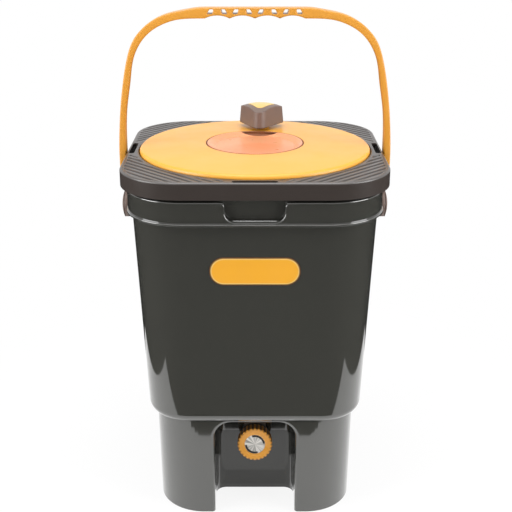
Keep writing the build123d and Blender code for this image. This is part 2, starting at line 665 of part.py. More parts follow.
def make_dish():
    """Shallow dish with a rounded rim, a sloping wall and a neck for its ring."""
    flange_low = WELL_Z + GASKET_THICK
    floor_low = DISH_FLOOR_Z - DISH_WALL
    neck_inner = NECK_RADIUS - DISH_WALL
    rim_inner = DISH_RADIUS - DISH_RIM_WIDTH
    points = [(0, DISH_FLOOR_Z), (DISH_FLOOR_RADIUS, DISH_FLOOR_Z), (rim_inner, DISH_TOP_Z),
              (DISH_RADIUS, DISH_TOP_Z), (DISH_RADIUS, flange_low), (NECK_RADIUS, flange_low),
              (NECK_RADIUS, NECK_Z), (neck_inner, NECK_Z), (neck_inner, floor_low), (0, floor_low)]
    profile = make_face(Polyline(*points, close=True))
    rounds = profile.vertices().filter_by(lambda point: point.Y > DISH_TOP_Z - PUSH_GAP)
    profile = fillet(rounds, DISH_ROUND)
    return revolve(Plane.XZ * profile, Axis.Z)


def make_dish_gasket():
    """Flat gasket under the rim of the dish."""
    return tube(DISH_RADIUS - DISH_ROUND, NECK_RADIUS + PUSH_GAP, WELL_Z, WELL_Z + GASKET_THICK)


def make_dish_ring():
    """Ring nut that holds the dish from below."""
    high = WELL_Z - WELL_THICK
    ring = tube(RING_RADIUS, NECK_RADIUS + PUSH_GAP, high - RING_THICK, high)
    return ring


def polar(distance, degrees):
    """Point at a distance and an angle from the origin."""
    return Vector(distance * cos(radians(degrees)), distance * sin(radians(degrees)))


def trefoil(reach, lobe, scoop):
    """Three-lobed outline with one lobe to the front and slightly hollow sides."""
    centre = reach - lobe
    side = centre * sin(radians(60))
    away = centre * cos(radians(60)) + ((scoop + lobe) ** 2 - side ** 2) ** 0.5
    edges = []
    for turn in range(3):
        front = 120 * turn - 90
        lobe_at = polar(centre, front)
        before = lobe_at + (polar(away, front - 60) - lobe_at) * lobe / (scoop + lobe)
        after = lobe_at + (polar(away, front + 60) - lobe_at) * lobe / (scoop + lobe)
        next_lobe = polar(centre, front + 120)
        join = next_lobe + (polar(away, front + 60) - next_lobe) * lobe / (scoop + lobe)
        edges.append(ThreePointArc(before, polar(reach, front), after))
        edges.append(ThreePointArc(after, polar(away - scoop, front + 60), join))
    return make_face(edges)


def make_knob():
    """Tapered three-lobed knob with a sunk top and a socket for the spindle."""
    foot = trefoil(KNOB_REACH, KNOB_LOBE, KNOB_SCOOP)
    head = trefoil(KNOB_REACH - KNOB_DRAFT, KNOB_LOBE - KNOB_DRAFT, KNOB_SCOOP + KNOB_DRAFT)
    knob = loft([Pos(0, 0, KNOB_Z) * foot, Pos(0, 0, KNOB_TOP) * head], ruled=True)
    knob = fillet(knob.faces().sort_by(Axis.Z)[-1].edges(), KNOB_ROUND)
    cap = trefoil(KNOB_CAP_REACH + PUSH_GAP, KNOB_CAP_LOBE + PUSH_GAP, KNOB_CAP_SCOOP - PUSH_GAP)
    knob -= extrude(Pos(0, 0, KNOB_TOP - KNOB_CAP_DEPTH) * cap, KNOB_CAP_DEPTH + OVERRUN)
    knob -= drum(SPINDLE_RADIUS + PUSH_GAP, KNOB_Z - OVERRUN, KNOB_Z + KNOB_SOCKET)
    return Pos(LATCH_X, LATCH_Y, 0) * knob


def make_knob_cap():
    """Coloured insert in the top of the knob."""
    outline = trefoil(KNOB_CAP_REACH, KNOB_CAP_LOBE, KNOB_CAP_SCOOP)
    cap = extrude(Pos(0, 0, KNOB_TOP - KNOB_CAP_DEPTH) * outline, KNOB_CAP_DEPTH + KNOB_CAP_PROUD)
    cap = fillet(cap.faces().sort_by(Axis.Z)[-1].edges(), KNOB_CAP_PROUD - PUSH_GAP)
    return Pos(LATCH_X, LATCH_Y, 0) * cap


def make_spindle():
    """Metal spindle from the knob down to the nut under the tongue."""
    return Pos(LATCH_X, LATCH_Y, 0) * drum(SPINDLE_RADIUS, SPINDLE_Z, KNOB_Z + KNOB_SOCKET - PUSH_GAP)


def make_latch_seal():
    """Sealing ring round the spindle in the pocket of the pad."""
    inner = SPINDLE_RADIUS + RUNNING_GAP
    low = PAD_Z - ORING_HIGH - PUSH_GAP
    return Pos(LATCH_X, LATCH_Y, 0) * tube(inner + ORING_WIDTH - PUSH_GAP, inner, low, low + ORING_HIGH)


def make_tongue():
    """Latch tongue, pointing sideways when open, with a raised tip."""
    width = TONGUE_WIDTH / 2
    high = TONGUE_Z + TONGUE_THICK
    bar_end = TONGUE_REACH - width
    bar = Pos(bar_end / 2, 0, (TONGUE_Z + high) / 2) * Box(bar_end, TONGUE_WIDTH, TONGUE_THICK)
    bar += drum(width, TONGUE_Z, high)
    bar += Pos(bar_end, 0, 0) * drum(width, TONGUE_Z, high)
    tip = Pos(bar_end, 0, 0) * drum(width, TONGUE_Z, high + TONGUE_PAD_HIGH)
    far = Pos(TONGUE_REACH - TONGUE_PAD_LONG + TONGUE_WIDTH, 0, high) * Box(
        2 * TONGUE_WIDTH, 2 * TONGUE_WIDTH, 2 * TONGUE_THICK)
    bar += tip & far
    bar -= drum(SPINDLE_RADIUS + PUSH_GAP, TONGUE_Z - OVERRUN, high + OVERRUN)
    return Pos(LATCH_X, LATCH_Y, 0) * bar


def make_latch_washer():
    """Washer between the barrel and the tongue."""
    low = TONGUE_Z + TONGUE_THICK + PUSH_GAP
    washer = tube(LATCH_WASHER_RADIUS, SPINDLE_RADIUS + PUSH_GAP, low, low + LATCH_WASHER_THICK)
    return Pos(LATCH_X, LATCH_Y, 0) * washer


def hexagon(flats, low, high):
    """Upright hexagonal prism on the middle axis, by its width across flats."""
    sketch = RegularPolygon(flats / 2, 6, major_radius=False)
    return extrude(Pos(0, 0, low) * sketch, high - low)


def make_latch_nut():
    """Nut that holds the tongue on the spindle."""
    nut = hexagon(LATCH_NUT_FLATS, TONGUE_Z - LATCH_NUT_HIGH, TONGUE_Z)
    nut -= drum(SPINDLE_RADIUS + PUSH_GAP, SPINDLE_Z - OVERRUN, TONGUE_Z + OVERRUN)
    return Pos(LATCH_X, LATCH_Y, 0) * nut


def make_strainer():
    """Perforated plate with a tab in the middle to lift it by."""
    high = STRAINER_Z + STRAINER_THICK
    plate = block(STRAINER_HALF, STRAINER_HALF, STRAINER_CORNER, STRAINER_Z, high)
    pitch = STRAINER_HALF * STRAINER_PITCH_SHARE
    middle = (STRAINER_HOLES - 1) / 2
    hole = drum(STRAINER_HOLE_RADIUS, STRAINER_Z - OVERRUN, high + OVERRUN)
    holes = []
    for column in range(STRAINER_HOLES):
        for row in range(STRAINER_HOLES):
            if column == middle and row == middle:
                continue
            place = Pos((column - middle) * pitch, (row - middle) * pitch, 0)
            holes.append(place * hole)
    plate -= holes
    tab = Pos(0, 0, high + TAB_HIGH / 2) * Box(TAB_WIDTH, TAB_DEPTH, TAB_HIGH)
    return plate + fillet(tab.edges().group_by(Axis.Z)[-1], TAB_ROUND)


def on_tap(solid):
    """Carries a solid built upright at the origin onto the tap's axis."""
    return tap_plane().location * solid


def make_tap_body():
    """Body of the tap: shank, flange, barrel, stop plate and spout."""
    flange_end = TAP_WASHER_THICK + TAP_FLANGE_THICK
    body = drum(SHANK_RADIUS, -SHANK_BACK, TAP_WASHER_THICK)
    body += drum(TAP_FLANGE_RADIUS, TAP_WASHER_THICK, flange_end)
    body += drum(TAP_BARREL_RADIUS, flange_end, TAP_BARREL_END)
    stop_mid = STOP_START + STOP_THICK / 2
    body += Pos(0, STOP_TOP / 2, stop_mid) * Box(2 * STOP_HALF, STOP_TOP, STOP_THICK)
    spout = Pos(0, 0, SPOUT_AT) * Rot(90, 0, 0)
    lower = (Align.CENTER, Align.CENTER, Align.MIN)
    body += spout * Cylinder(SPOUT_RADIUS, SPOUT_DROP, align=lower)
    body -= spout * Cylinder(SPOUT_BORE, SPOUT_DROP + OVERRUN, align=lower)
    body -= drum(VALVE_RADIUS + RUNNING_GAP, -SHANK_BACK - OVERRUN, TAP_BARREL_END + OVERRUN)
    return on_tap(body)


def make_tap_valve():
    """Turning plug of the tap with its side port and the stem for the wheel."""
    valve = drum(VALVE_RADIUS, -VALVE_BACK, WHEEL_START)
    valve += drum(VALVE_STEM, WHEEL_START, VALVE_END)
    valve -= drum(VALVE_BORE, -VALVE_BACK - OVERRUN, SPOUT_AT + VALVE_BORE)
    port = Pos(0, 0, SPOUT_AT) * Rot(0, -90, 0)
    outward = (Align.CENTER, Align.CENTER, Align.MIN)
    valve -= port * Cylinder(VALVE_BORE - PUSH_GAP, VALVE_RADIUS + OVERRUN, align=outward)
    for place in TAP_RING_PLACES:
        valve -= tube(VALVE_RADIUS + OVERRUN, VALVE_RADIUS - TAP_RING_DEEP, place, place + TAP_RING_WIDE)
    return on_tap(valve)


def make_tap_rings():
    """Two sealing rings in the grooves of the valve."""
    rings = []
    for place in TAP_RING_PLACES:
        ring = tube(VALVE_RADIUS, VALVE_RADIUS - TAP_RING_DEEP, place, place + TAP_RING_WIDE)
        rings.append(on_tap(ring))
    return Compound(children=rings)


def make_tap_washer(start):
    """Rubber washer on one side of the panel."""
    washer = tube(TAP_WASHER_RADIUS, SHANK_RADIUS + PUSH_GAP, start, start + TAP_WASHER_THICK)
    return on_tap(washer)


def make_tap_nut():
    """Nut that holds the tap from inside the sump."""
    high = -WALL - TAP_WASHER_THICK
    nut = hexagon(TAP_NUT_FLATS, high - TAP_NUT_THICK, high)
    nut -= drum(SHANK_RADIUS + PUSH_GAP, high - TAP_NUT_THICK - OVERRUN, high + OVERRUN)
    return on_tap(nut)


def make_tap_wheel():
    """Fluted hand wheel with a hollow back and a pocket for its disc."""
    wheel = drum(WHEEL_RADIUS, WHEEL_START, WHEEL_END)
    wheel = fillet(wheel.edges().group_by(Axis.Z)[0] + wheel.edges().group_by(Axis.Z)[-1], WHEEL_ROUND)
    flute_at = WHEEL_RADIUS + FLUTE_RADIUS * (1 - FLUTE_BITE_SHARE)
    flute = Pos(flute_at, 0, 0) * drum(FLUTE_RADIUS, WHEEL_START - OVERRUN, WHEEL_END + OVERRUN)
    wheel -= [Rot(0, 0, 360 * turn / FLUTES) * flute for turn in range(FLUTES)]
    hollow_end = WHEEL_START + WHEEL_HOLLOW
    flute_depth = FLUTE_RADIUS * FLUTE_BITE_SHARE * 2
    rim_inner = WHEEL_RADIUS - flute_depth - WHEEL_WALL
    wheel -= tube(rim_inner, WHEEL_HUB_RADIUS, WHEEL_START - OVERRUN, hollow_end)
    disc_floor = WHEEL_END - DISC_SUNK - DISC_THICK
    wheel -= drum(DISC_RADIUS + PUSH_GAP, disc_floor, WHEEL_END + OVERRUN)
    wheel -= drum(VALVE_STEM + PUSH_GAP, WHEEL_START - OVERRUN, VALVE_END + PUSH_GAP)
    return on_tap(wheel)


def make_tap_disc():
    """Bright disc in the middle of the wheel."""
    high = WHEEL_END - DISC_SUNK
    disc = drum(DISC_RADIUS, high - DISC_THICK, high)
    return on_tap(fillet(disc.edges().group_by(Axis.Z)[-1], MARK_HIGH))


def make_tap_marks():
    """Two dark arcs on the disc that show which way it turns."""
    high = WHEEL_END - DISC_SUNK
    marks = []
    for start, sweep in MARK_ARCS:
        face = make_face(Polyline((MARK_INNER, 0), (MARK_OUTER, 0), (MARK_OUTER, MARK_HIGH),
                                  (MARK_INNER, MARK_HIGH), close=True))
        arc = revolve(Plane.XZ * face, Axis.Z, revolution_arc=sweep)
        marks.append(on_tap(Pos(0, 0, high) * Rot(0, 0, start) * arc))
    return Compound(children=marks)


def main():
    """Builds every piece and writes one file for each."""
    pieces = {
        "bin_shell": make_bin_shell(),
        "base_skirt": make_base_skirt(),
        "collar_band": make_collar_band(),
        "pivot_pin_left": make_pivot_pin(-1),
        "pivot_pin_right": make_pivot_pin(1),
        "handle": make_handle(),
        "handle_arm_left": make_handle_arm(-1),
        "handle_arm_right": make_handle_arm(1),
        "handle_shoe_left": make_handle_shoe(-1),
        "handle_shoe_right": make_handle_shoe(1),
        "lid_frame": make_lid_frame(),
        "seat_ring": make_seat_ring(),
        "rim_seal": make_rim_seal(),
        "cover": make_cover(),
        "cover_seal": make_cover_seal(),
        "dish": make_dish(),
        "dish_gasket": make_dish_gasket(),
        "dish_ring": make_dish_ring(),
        "knob": make_knob(),
        "knob_cap": make_knob_cap(),
        "latch_spindle": make_spindle(),
        "latch_seal": make_latch_seal(),
        "latch_washer": make_latch_washer(),
        "latch_tongue": make_tongue(),
        "latch_nut": make_latch_nut(),
        "strainer": make_strainer(),
        "tap_body": make_tap_body(),
        "tap_valve": make_tap_valve(),
        "tap_rings": make_tap_rings(),
        "tap_washer_outer": make_tap_washer(0),
        "tap_washer_inner": make_tap_washer(-WALL - TAP_WASHER_THICK),
        "tap_nut": make_tap_nut(),
        "tap_wheel": make_tap_wheel(),
        "tap_disc": make_tap_disc(),
        "tap_marks": make_tap_marks(),
    }
    os.makedirs("parts", exist_ok=True)
    for name, piece in pieces.items():
        export_step(piece, f"parts/{name}.step")
        print(name, round(piece.volume), "mm3")


main()
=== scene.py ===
"""Dresses the kitchen compost bin: tub, handle, lid frame, cover, latch, strainer and tap."""

import logging
import math
from contextlib import contextmanager
from dataclasses import dataclass, field
from enum import Enum
from typing import Iterator, Sequence

import bpy
from mathutils import Matrix, Vector


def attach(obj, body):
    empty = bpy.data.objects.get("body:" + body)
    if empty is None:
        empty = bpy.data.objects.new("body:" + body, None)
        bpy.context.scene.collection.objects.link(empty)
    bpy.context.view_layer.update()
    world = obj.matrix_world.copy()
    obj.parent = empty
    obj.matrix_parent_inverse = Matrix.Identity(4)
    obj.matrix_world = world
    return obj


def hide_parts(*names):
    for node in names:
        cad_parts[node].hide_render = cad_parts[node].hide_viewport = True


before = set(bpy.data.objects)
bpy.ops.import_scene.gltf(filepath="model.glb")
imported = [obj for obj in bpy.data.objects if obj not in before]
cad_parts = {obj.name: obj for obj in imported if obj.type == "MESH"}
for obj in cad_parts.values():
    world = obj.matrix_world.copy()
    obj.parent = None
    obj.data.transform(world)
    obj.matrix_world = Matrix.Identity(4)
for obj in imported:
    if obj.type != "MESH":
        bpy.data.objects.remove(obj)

LOG = logging.getLogger("compost_bin")
MM = 0.001
WELD = MM / 1000

Colour = tuple[float, float, float]
Point = tuple[float, float]
Place = tuple[float, float, float]
Piece = bpy.types.Object
Material = bpy.types.Material
Socket = bpy.types.NodeSocket

# Places that a finish shares with its piece, in metres and degrees
TAP_AXIS = (0.0, -0.05808, 0.0754)
TAP_LEAN = 84.0
LATCH_AT = (0.0075, 0.084)
LATCH_TURN = -5.1
THUMB_AT = (0.006, 0.0503)
THUMB_HALF = (0.0228, 0.0040)

# Most of a noise pattern's values lie between these two
NOISE_LOW = 0.3
NOISE_HIGH = 0.7

# Points round a small cylinder
SMALL_ROUND = 48


class Slot(Enum):
    """Material slots of the record."""

    BIN = "bin_grey"
    LID = "lid_grey"
    COVER = "cover_orange"
    HANDLE = "handle_orange"
    DISH = "dish_coral"
    KNOB = "knob_grey"
    KNOB_CAP = "knob_yellow"
    SEAL = "seal_rubber"
    TAP_BODY = "tap_grey"
    TAP_WHEEL = "tap_orange"
    TAP_DISC = "tap_silver"
    TAP_MARK = "mark_black"
    STRAINER = "strainer_black"
    HARDWARE = "hardware_steel"


class Body(Enum):
    """Moving bodies of the model."""

    BIN = "bin"
    HANDLE = "handle"
    STRAINER = "strainer"
    LID = "lid"
    COVER = "cover"
    LATCH = "latch"
    TAP_PLUG = "tap_plug"


class NodeBoard:
    """A node tree with short ways to add and join its nodes."""

    def __init__(self, tree: bpy.types.NodeTree) -> None:
        """Takes up a node tree.

        Args:
            tree: The tree that nodes are added to.
        """
        self.tree = tree

    def add(self, kind: str, **settings: object) -> bpy.types.Node:
        """Adds a node.

        Args:
            kind: The node's type.
            settings: Attributes to set on it.

        Returns:
            The new node.
        """
        node = self.tree.nodes.new(kind)
        for key, value in settings.items():
            setattr(node, key, value)
        return node

    def join(self, source: Socket, target: Socket) -> None:
        """Links two sockets."""
        self.tree.links.new(source, target)

    def maths(self, operation: str, first: Socket, second: Socket | float) -> Socket:
        """A sum on two values.

        Args:
            operation: What is done with them.
            first: The first value.
            second: The second value, from a node or plain.

        Returns:
            The result's socket.
        """
        node = self.add("ShaderNodeMath", operation=operation)
        self.join(first, node.inputs[0])
        if isinstance(second, float):
            node.inputs[1].default_value = second
        else:
            self.join(second, node.inputs[1])
        return node.outputs[0]


class NodeSheet(NodeBoard):
    """Nodes of a finish: a Principled surface and the patterns and masks that it needs.

    Attributes:
        tall: Height that makes a column endless, in metres.
        edge_rays: How many samples look for an edge to round.
    """

    tall = 1000.0
    edge_rays = 6

    def __init__(self, name: str) -> None:
        """Starts a material with a plain surface.

        Args:
            name: The material's name.
        """
        self.material = bpy.data.materials.new(name)
        self.material.use_nodes = True
        super().__init__(self.material.node_tree)
        self.surface = self.tree.nodes["Principled BSDF"]
        self.place = self.add("ShaderNodeTexCoord").outputs["Object"]

    def stretched(self, scale: Sequence[float]) -> Socket:
        """Object coordinates stretched along each axis.

        Args:
            scale: Factor for X, Y and Z.

        Returns:
            The socket that carries the stretched coordinates.
        """
        mapping = self.add("ShaderNodeMapping")
        mapping.inputs["Scale"].default_value = scale
        self.join(self.place, mapping.inputs["Vector"])
        return mapping.outputs["Vector"]

    def noise(self, scale: float, detail: float, place: Socket | None = None) -> Socket:
        """A noise pattern.

        Args:
            scale: Its scale, in features per metre.
            detail: How many octaves it has.
            place: Coordinates to read, the plain object ones if left out.

        Returns:
            The pattern's factor socket.
        """
        node = self.add("ShaderNodeTexNoise")
        node.inputs["Scale"].default_value = scale
        node.inputs["Detail"].default_value = detail
        self.join(place or self.place, node.inputs["Vector"])
        return node.outputs["Fac"]

    def span(self, factor: Socket, low: float, high: float) -> Socket:
        """A noise pattern's usual values spread between two others.

        Args:
            factor: The pattern to spread.
            low: Value at its low end.
            high: Value at its high end.

        Returns:
            The spread value's socket.
        """
        node = self.add("ShaderNodeMapRange")
        node.inputs["From Min"].default_value = NOISE_LOW
        node.inputs["From Max"].default_value = NOISE_HIGH
        node.inputs["To Min"].default_value = low
        node.inputs["To Max"].default_value = high
        self.join(factor, node.inputs["Value"])
        return node.outputs["Result"]

    def oval(self, centre: Point, half: Point, soft: float, turn: float = 0.0) -> Socket:
        """A mask over an upright oval column, 1 inside it, or outside it if its soft edge is negative.

        Args:
            centre: Its middle, in X and Y.
            half: Its half axes.
            soft: Width of its edge, as a share of its size.
            turn: Its turn in degrees.

        Returns:
            The mask's socket.
        """
        local = self.add("ShaderNodeMapping", vector_type="TEXTURE")
        local.inputs["Location"].default_value = (*centre, 0)
        local.inputs["Rotation"].default_value = (0, 0, math.radians(turn))
        local.inputs["Scale"].default_value = (*half, self.tall)
        self.join(self.place, local.inputs["Vector"])
        distance = self.vector("LENGTH", local.outputs["Vector"], "Value")
        return self.fade(distance, 1 + soft / 2, 1 - soft / 2)

    def block(self, centre: Place, half: Place, soft: float) -> Socket:
        """A mask inside an upright box.

        Args:
            centre: Its middle.
            half: Its half lengths.
            soft: Width of its edge.

        Returns:
            The mask's socket.
        """
        from_middle = self.add("ShaderNodeVectorMath", operation="SUBTRACT")
        from_middle.inputs[1].default_value = centre
        self.join(self.place, from_middle.inputs[0])
        axes = self.add("ShaderNodeSeparateXYZ")
        self.join(self.vector("ABSOLUTE", from_middle.outputs["Vector"], "Vector"), axes.inputs["Vector"])
        mask = None
        for side, reach in zip("XYZ", half):
            part = self.fade(axes.outputs[side], reach, reach - soft)
            mask = part if mask is None else self.maths("MULTIPLY", mask, part)
        return mask

    def turned(self, centre: Place, lean: float) -> Socket:
        """The place across a leaning axis, without the distance along it.

        Args:
            centre: A point on the axis.
            lean: How far the axis is turned about X, in degrees.

        Returns:
            The place's socket.
        """
        local = self.add("ShaderNodeMapping", vector_type="TEXTURE")
        local.inputs["Location"].default_value = centre
        local.inputs["Rotation"].default_value = (math.radians(lean), 0, 0)
        self.join(self.place, local.inputs["Vector"])
        across = self.add("ShaderNodeVectorMath", operation="MULTIPLY")
        across.inputs[1].default_value = (1, 1, 0)
        self.join(local.outputs["Vector"], across.inputs[0])
        return across.outputs["Vector"]

    def vector(self, operation: str, value: Socket, output: str) -> Socket:
        """A sum on one vector.

        Args:
            operation: What is done with it, such as LENGTH or NORMALIZE.
            value: The vector.
            output: Name of the output to read.

        Returns:
            The result's socket.
        """
        node = self.add("ShaderNodeVectorMath", operation=operation)
        self.join(value, node.inputs[0])
        return node.outputs[output]

    def height(self, low: float, high: float) -> Socket:
        """A mask that grows with the height.

        Args:
            low: Height where it is 0.
            high: Height where it is 1.

        Returns:
            The mask's socket.
        """
        axes = self.add("ShaderNodeSeparateXYZ")
        self.join(self.place, axes.inputs["Vector"])
        return self.fade(axes.outputs["Z"], low, high)

    def fade(self, value: Socket, none: float, full: float) -> Socket:
        """A clamped ramp.

        Args:
            value: What it follows.
            none: Value where it is 0.
            full: Value where it is 1.

        Returns:
            The ramp's socket.
        """
        node = self.add("ShaderNodeMapRange")
        node.inputs["From Min"].default_value = none
        node.inputs["From Max"].default_value = full
        self.join(value, node.inputs["Value"])
        return node.outputs["Result"]

    def over(self, mask: Socket, below: Socket, above: Colour) -> Socket:
        """A plain colour laid over another where a mask is 1.

        Args:
            mask: Where it shows.
            below: The colour under it.
            above: The linear colour on top.

        Returns:
            The resulting colour's socket.
        """
        node = self.add("ShaderNodeMix", data_type="RGBA")
        self.join(mask, node.inputs["Factor"])
        self.join(below, node.inputs["A"])
        node.inputs["B"].default_value = (*above, 1.0)
        return node.outputs["Result"]

    def shades(self, factor: Socket, first: Colour, second: Colour) -> Socket:
        """Two shades of a colour mixed by a pattern.

        Args:
            factor: The pattern.
            first: Linear colour at 0.
            second: Linear colour at 1.

        Returns:
            The mixed colour's socket.
        """
        node = self.add("ShaderNodeMix", data_type="RGBA")
        node.inputs["A"].default_value = (*first, 1.0)
        node.inputs["B"].default_value = (*second, 1.0)
        self.join(factor, node.inputs["Factor"])
        return node.outputs["Result"]

    def relief(self, height: Socket, strength: float, distance: float) -> None:
        """Gives the surface a fine relief.

        Args:
            height: The pattern's socket.
            strength: How much of it shows.
            distance: Its depth in metres.
        """
        bump = self.add("ShaderNodeBump")
        bump.inputs["Strength"].default_value = strength
        bump.inputs["Distance"].default_value = distance
        self.join(height, bump.inputs["Height"])
        self.join(bump.outputs["Normal"], self.surface.inputs["Normal"])

    def soften(self, radius: float) -> None:
        """Rounds the shading of the edges.

        Args:
            radius: How far from an edge it reaches.
        """
        edge = self.add("ShaderNodeBevel", samples=self.edge_rays)
        edge.inputs["Radius"].default_value = radius
        self.join(edge.outputs["Normal"], self.surface.inputs["Normal"])

    def give(self, **values: object) -> None:
        """Sets constant values on the surface's own sockets, by name with spaces as underscores."""
        for key, value in values.items():
            self.surface.inputs[key.replace("_", " ")].default_value = value


def light(level: int) -> float:
    """Linear light of a display level from 0 to 255."""
    share = level / 255
    return share / 12.92 if share <= 0.04045 else ((share + 0.055) / 1.055) ** 2.4


def linear(red: int, green: int, blue: int) -> Colour:
    """A display colour, each part from 0 to 255, as linear light."""
    return light(red), light(green), light(blue)


def tinted(colour: Colour, factor: float) -> Colour:
    """A colour made lighter or darker by a factor."""
    return colour[0] * factor, colour[1] * factor, colour[2] * factor


@dataclass(frozen=True)
class MouldedPlastic:
    """Injection moulded plastic: slight flow shades, fine texture and its own gloss.

    Attributes:
        spread: How far the roughness strays either way.
        shade: How far the colour strays either way, as a share of it.
        gap: Radius of the middle that gets painted shade for the gap round the dish, none if 0.
        recess: Whether its coat and shine are lowered inside the tap's recess, as painted shade.
        softened: How far from an edge its shading is rounded, none if 0.
        matt_and_shade_below: Height below which it hardly shines, partly a matt skirt and partly painted
            shade for light that falls from above, none if 0.
    """

    name: str
    colour: Colour
    roughness: float
    spread: float = 0.04
    grain: float = 900.0
    grain_depth: float = 0.00004
    grain_strength: float = 0.12
    coat: float = 0.0
    specular: float = 0.5
    shade: float = 0.06
    gap: float = 0.0
    gap_shade_tone: Colour = (0.0, 0.0, 0.0)
    recess: bool = False
    softened: float = 0.0
    matt_and_shade_below: float = 0.0
    flow_scale: float = 7.0
    flow_stretch: float = 0.45
    wear_scale: float = 38.0
    coat_roughness: float = 0.04
    gap_edge: float = 0.004
    recess_middle: Place = (0.0, -0.058, 0.035)
    recess_half: Place = (0.0455, 0.050, 0.045)
    recess_edge: float = 0.002
    recess_coat: float = 0.35
    recess_shine: float = 0.6
    matt_edge: float = 0.003
    matt_shine: float = 0.12

    def material(self) -> Material:
        """Builds the finish.

        Returns:
            The material.
        """
        sheet = NodeSheet(self.name)
        flow = sheet.noise(self.flow_scale, 3.0, sheet.stretched((1.0, 1.0, self.flow_stretch)))
        tone = sheet.shades(flow, tinted(self.colour, 1 - self.shade), tinted(self.colour, 1 + self.shade))
        shine = sheet.surface.inputs["Specular IOR Level"]
        # Painted shade: less coat and shine inside the tap's recess, where the floor that it mirrors lies
        # in shade.
        if self.recess:
            inside = sheet.block(self.recess_middle, self.recess_half, self.recess_edge)
            coat = sheet.span(inside, self.coat, self.coat * self.recess_coat)
            sheet.join(coat, sheet.surface.inputs["Coat Weight"])
            sheet.join(sheet.span(inside, self.specular, self.specular * self.recess_shine), shine)
        # Partly a matt skirt and partly painted shade: below this height the shine drops, because light
        # falls mostly from above.
        if self.matt_and_shade_below:
            upper = sheet.height(self.matt_and_shade_below, self.matt_and_shade_below + self.matt_edge)
            sheet.join(sheet.span(upper, self.matt_shine, self.specular), shine)
        # Painted shade: the middle is darkened where shade falls into the gap round the dish.
        if self.gap:
            middle = sheet.oval((0, 0), (self.gap, self.gap), self.gap_edge)
            tone = sheet.over(middle, tone, self.gap_shade_tone)
        sheet.join(tone, sheet.surface.inputs["Base Color"])
        wear = sheet.noise(self.wear_scale, 6.0)
        rough = sheet.span(wear, self.roughness - self.spread, self.roughness + self.spread)
        sheet.join(rough, sheet.surface.inputs["Roughness"])
        sheet.relief(sheet.noise(self.grain, 2.0), self.grain_strength, self.grain_depth)
        if self.softened:
            sheet.soften(self.softened)
        sheet.give(Coat_Weight=self.coat, Coat_Roughness=self.coat_roughness,
                   Specular_IOR_Level=self.specular)
        return sheet.material


@dataclass(frozen=True)
class TintedDish:
    """Tinted coral plastic of the dish, deep on its floor, with a painted paler reflection on its wall,
    painted shade along its rim and a painted shadow in its thumb hollow.

    Attributes:
        floor_soft: Width of the floor's edge, as a share of its size.
        rim: Radius beyond which the rim's painted shade shows.
        rim_shade_tint: How much lighter the rim's painted shade is than the hollow's painted shadow.
        spread: How far the roughness strays either way.
        under_share: Share of the light that goes below the surface.
        under_reach: How far it goes there, in metres.
    """

    name: str
    floor: Colour
    # Painted reflection: the wall's paler tone stands for the white that its slope reflects.
    wall: Colour
    # Painted shadow: the thumb hollow's dark tone, also the base of the rim's painted shade.
    hollow: Colour
    floor_at: Point = (0.006, -0.020)
    floor_half: Point = (0.044, 0.029)
    floor_soft: float = 0.4
    rim: float = 0.0558
    rim_edge: float = 0.004
    rim_shade_tint: float = 2.4
    hollow_soft: float = 0.12
    cloud_scale: float = 24.0
    cloud_shade: float = 0.03
    wear_scale: float = 60.0
    roughness: float = 0.3
    spread: float = 0.03
    specular: float = 0.35
    under_share: float = 0.15
    under_reach: float = 0.003

    def material(self) -> Material:
        """Builds the finish.

        Returns:
            The material.
        """
        sheet = NodeSheet(self.name)
        cloud = sheet.noise(self.cloud_scale, 2.0)
        shade = self.cloud_shade
        floor = sheet.shades(cloud, tinted(self.floor, 1 - shade), tinted(self.floor, 1 + shade))
        # Painted reflection: outside the floor's oval the wall gets its paler tone.
        wall = sheet.oval(self.floor_at, self.floor_half, -self.floor_soft)
        tone = sheet.over(wall, floor, self.wall)
        # Painted shade: the rim's edge is darkened where the gap round the dish lies.
        edge = sheet.oval((0, 0), (self.rim, self.rim), -self.rim_edge)
        tone = sheet.over(edge, tone, tinted(self.hollow, self.rim_shade_tint))
        # Painted shadow: the thumb hollow is painted dark.
        hollow = sheet.oval(THUMB_AT, THUMB_HALF, self.hollow_soft, LATCH_TURN)
        sheet.join(sheet.over(hollow, tone, self.hollow), sheet.surface.inputs["Base Color"])
        wear = sheet.noise(self.wear_scale, 4.0)
        rough = sheet.span(wear, self.roughness - self.spread, self.roughness + self.spread)
        sheet.join(rough, sheet.surface.inputs["Roughness"])
        sheet.give(Subsurface_Weight=self.under_share, Subsurface_Scale=self.under_reach,
                   Specular_IOR_Level=self.specular)
        return sheet.material


@dataclass(frozen=True)
class TurnedMetal:
    """Metal with fine lines round or along the piece.

    Attributes:
        lines: Lines per metre along X, Y and Z.
        spread: Least and most roughness, as shares of the usual one.
    """

    name: str
    colour: Colour
    roughness: float
    lines: Place
    line_shade: float = 0.88
    line_strength: float = 0.08
    line_depth: float = 0.00003
    spread: Point = (0.8, 1.25)

    def material(self) -> Material:
        """Builds the finish.

        Returns:
            The material.
        """
        sheet = NodeSheet(self.name)
        streaks = sheet.noise(1.0, 3.0, sheet.stretched(self.lines))
        tone = sheet.shades(streaks, tinted(self.colour, self.line_shade), self.colour)
        sheet.join(tone, sheet.surface.inputs["Base Color"])
        least, most = self.spread
        rough = sheet.span(streaks, self.roughness * least, self.roughness * most)
        sheet.join(rough, sheet.surface.inputs["Roughness"])
        sheet.relief(streaks, self.line_strength, self.line_depth)
        sheet.give(Metallic=1.0)
        return sheet.material


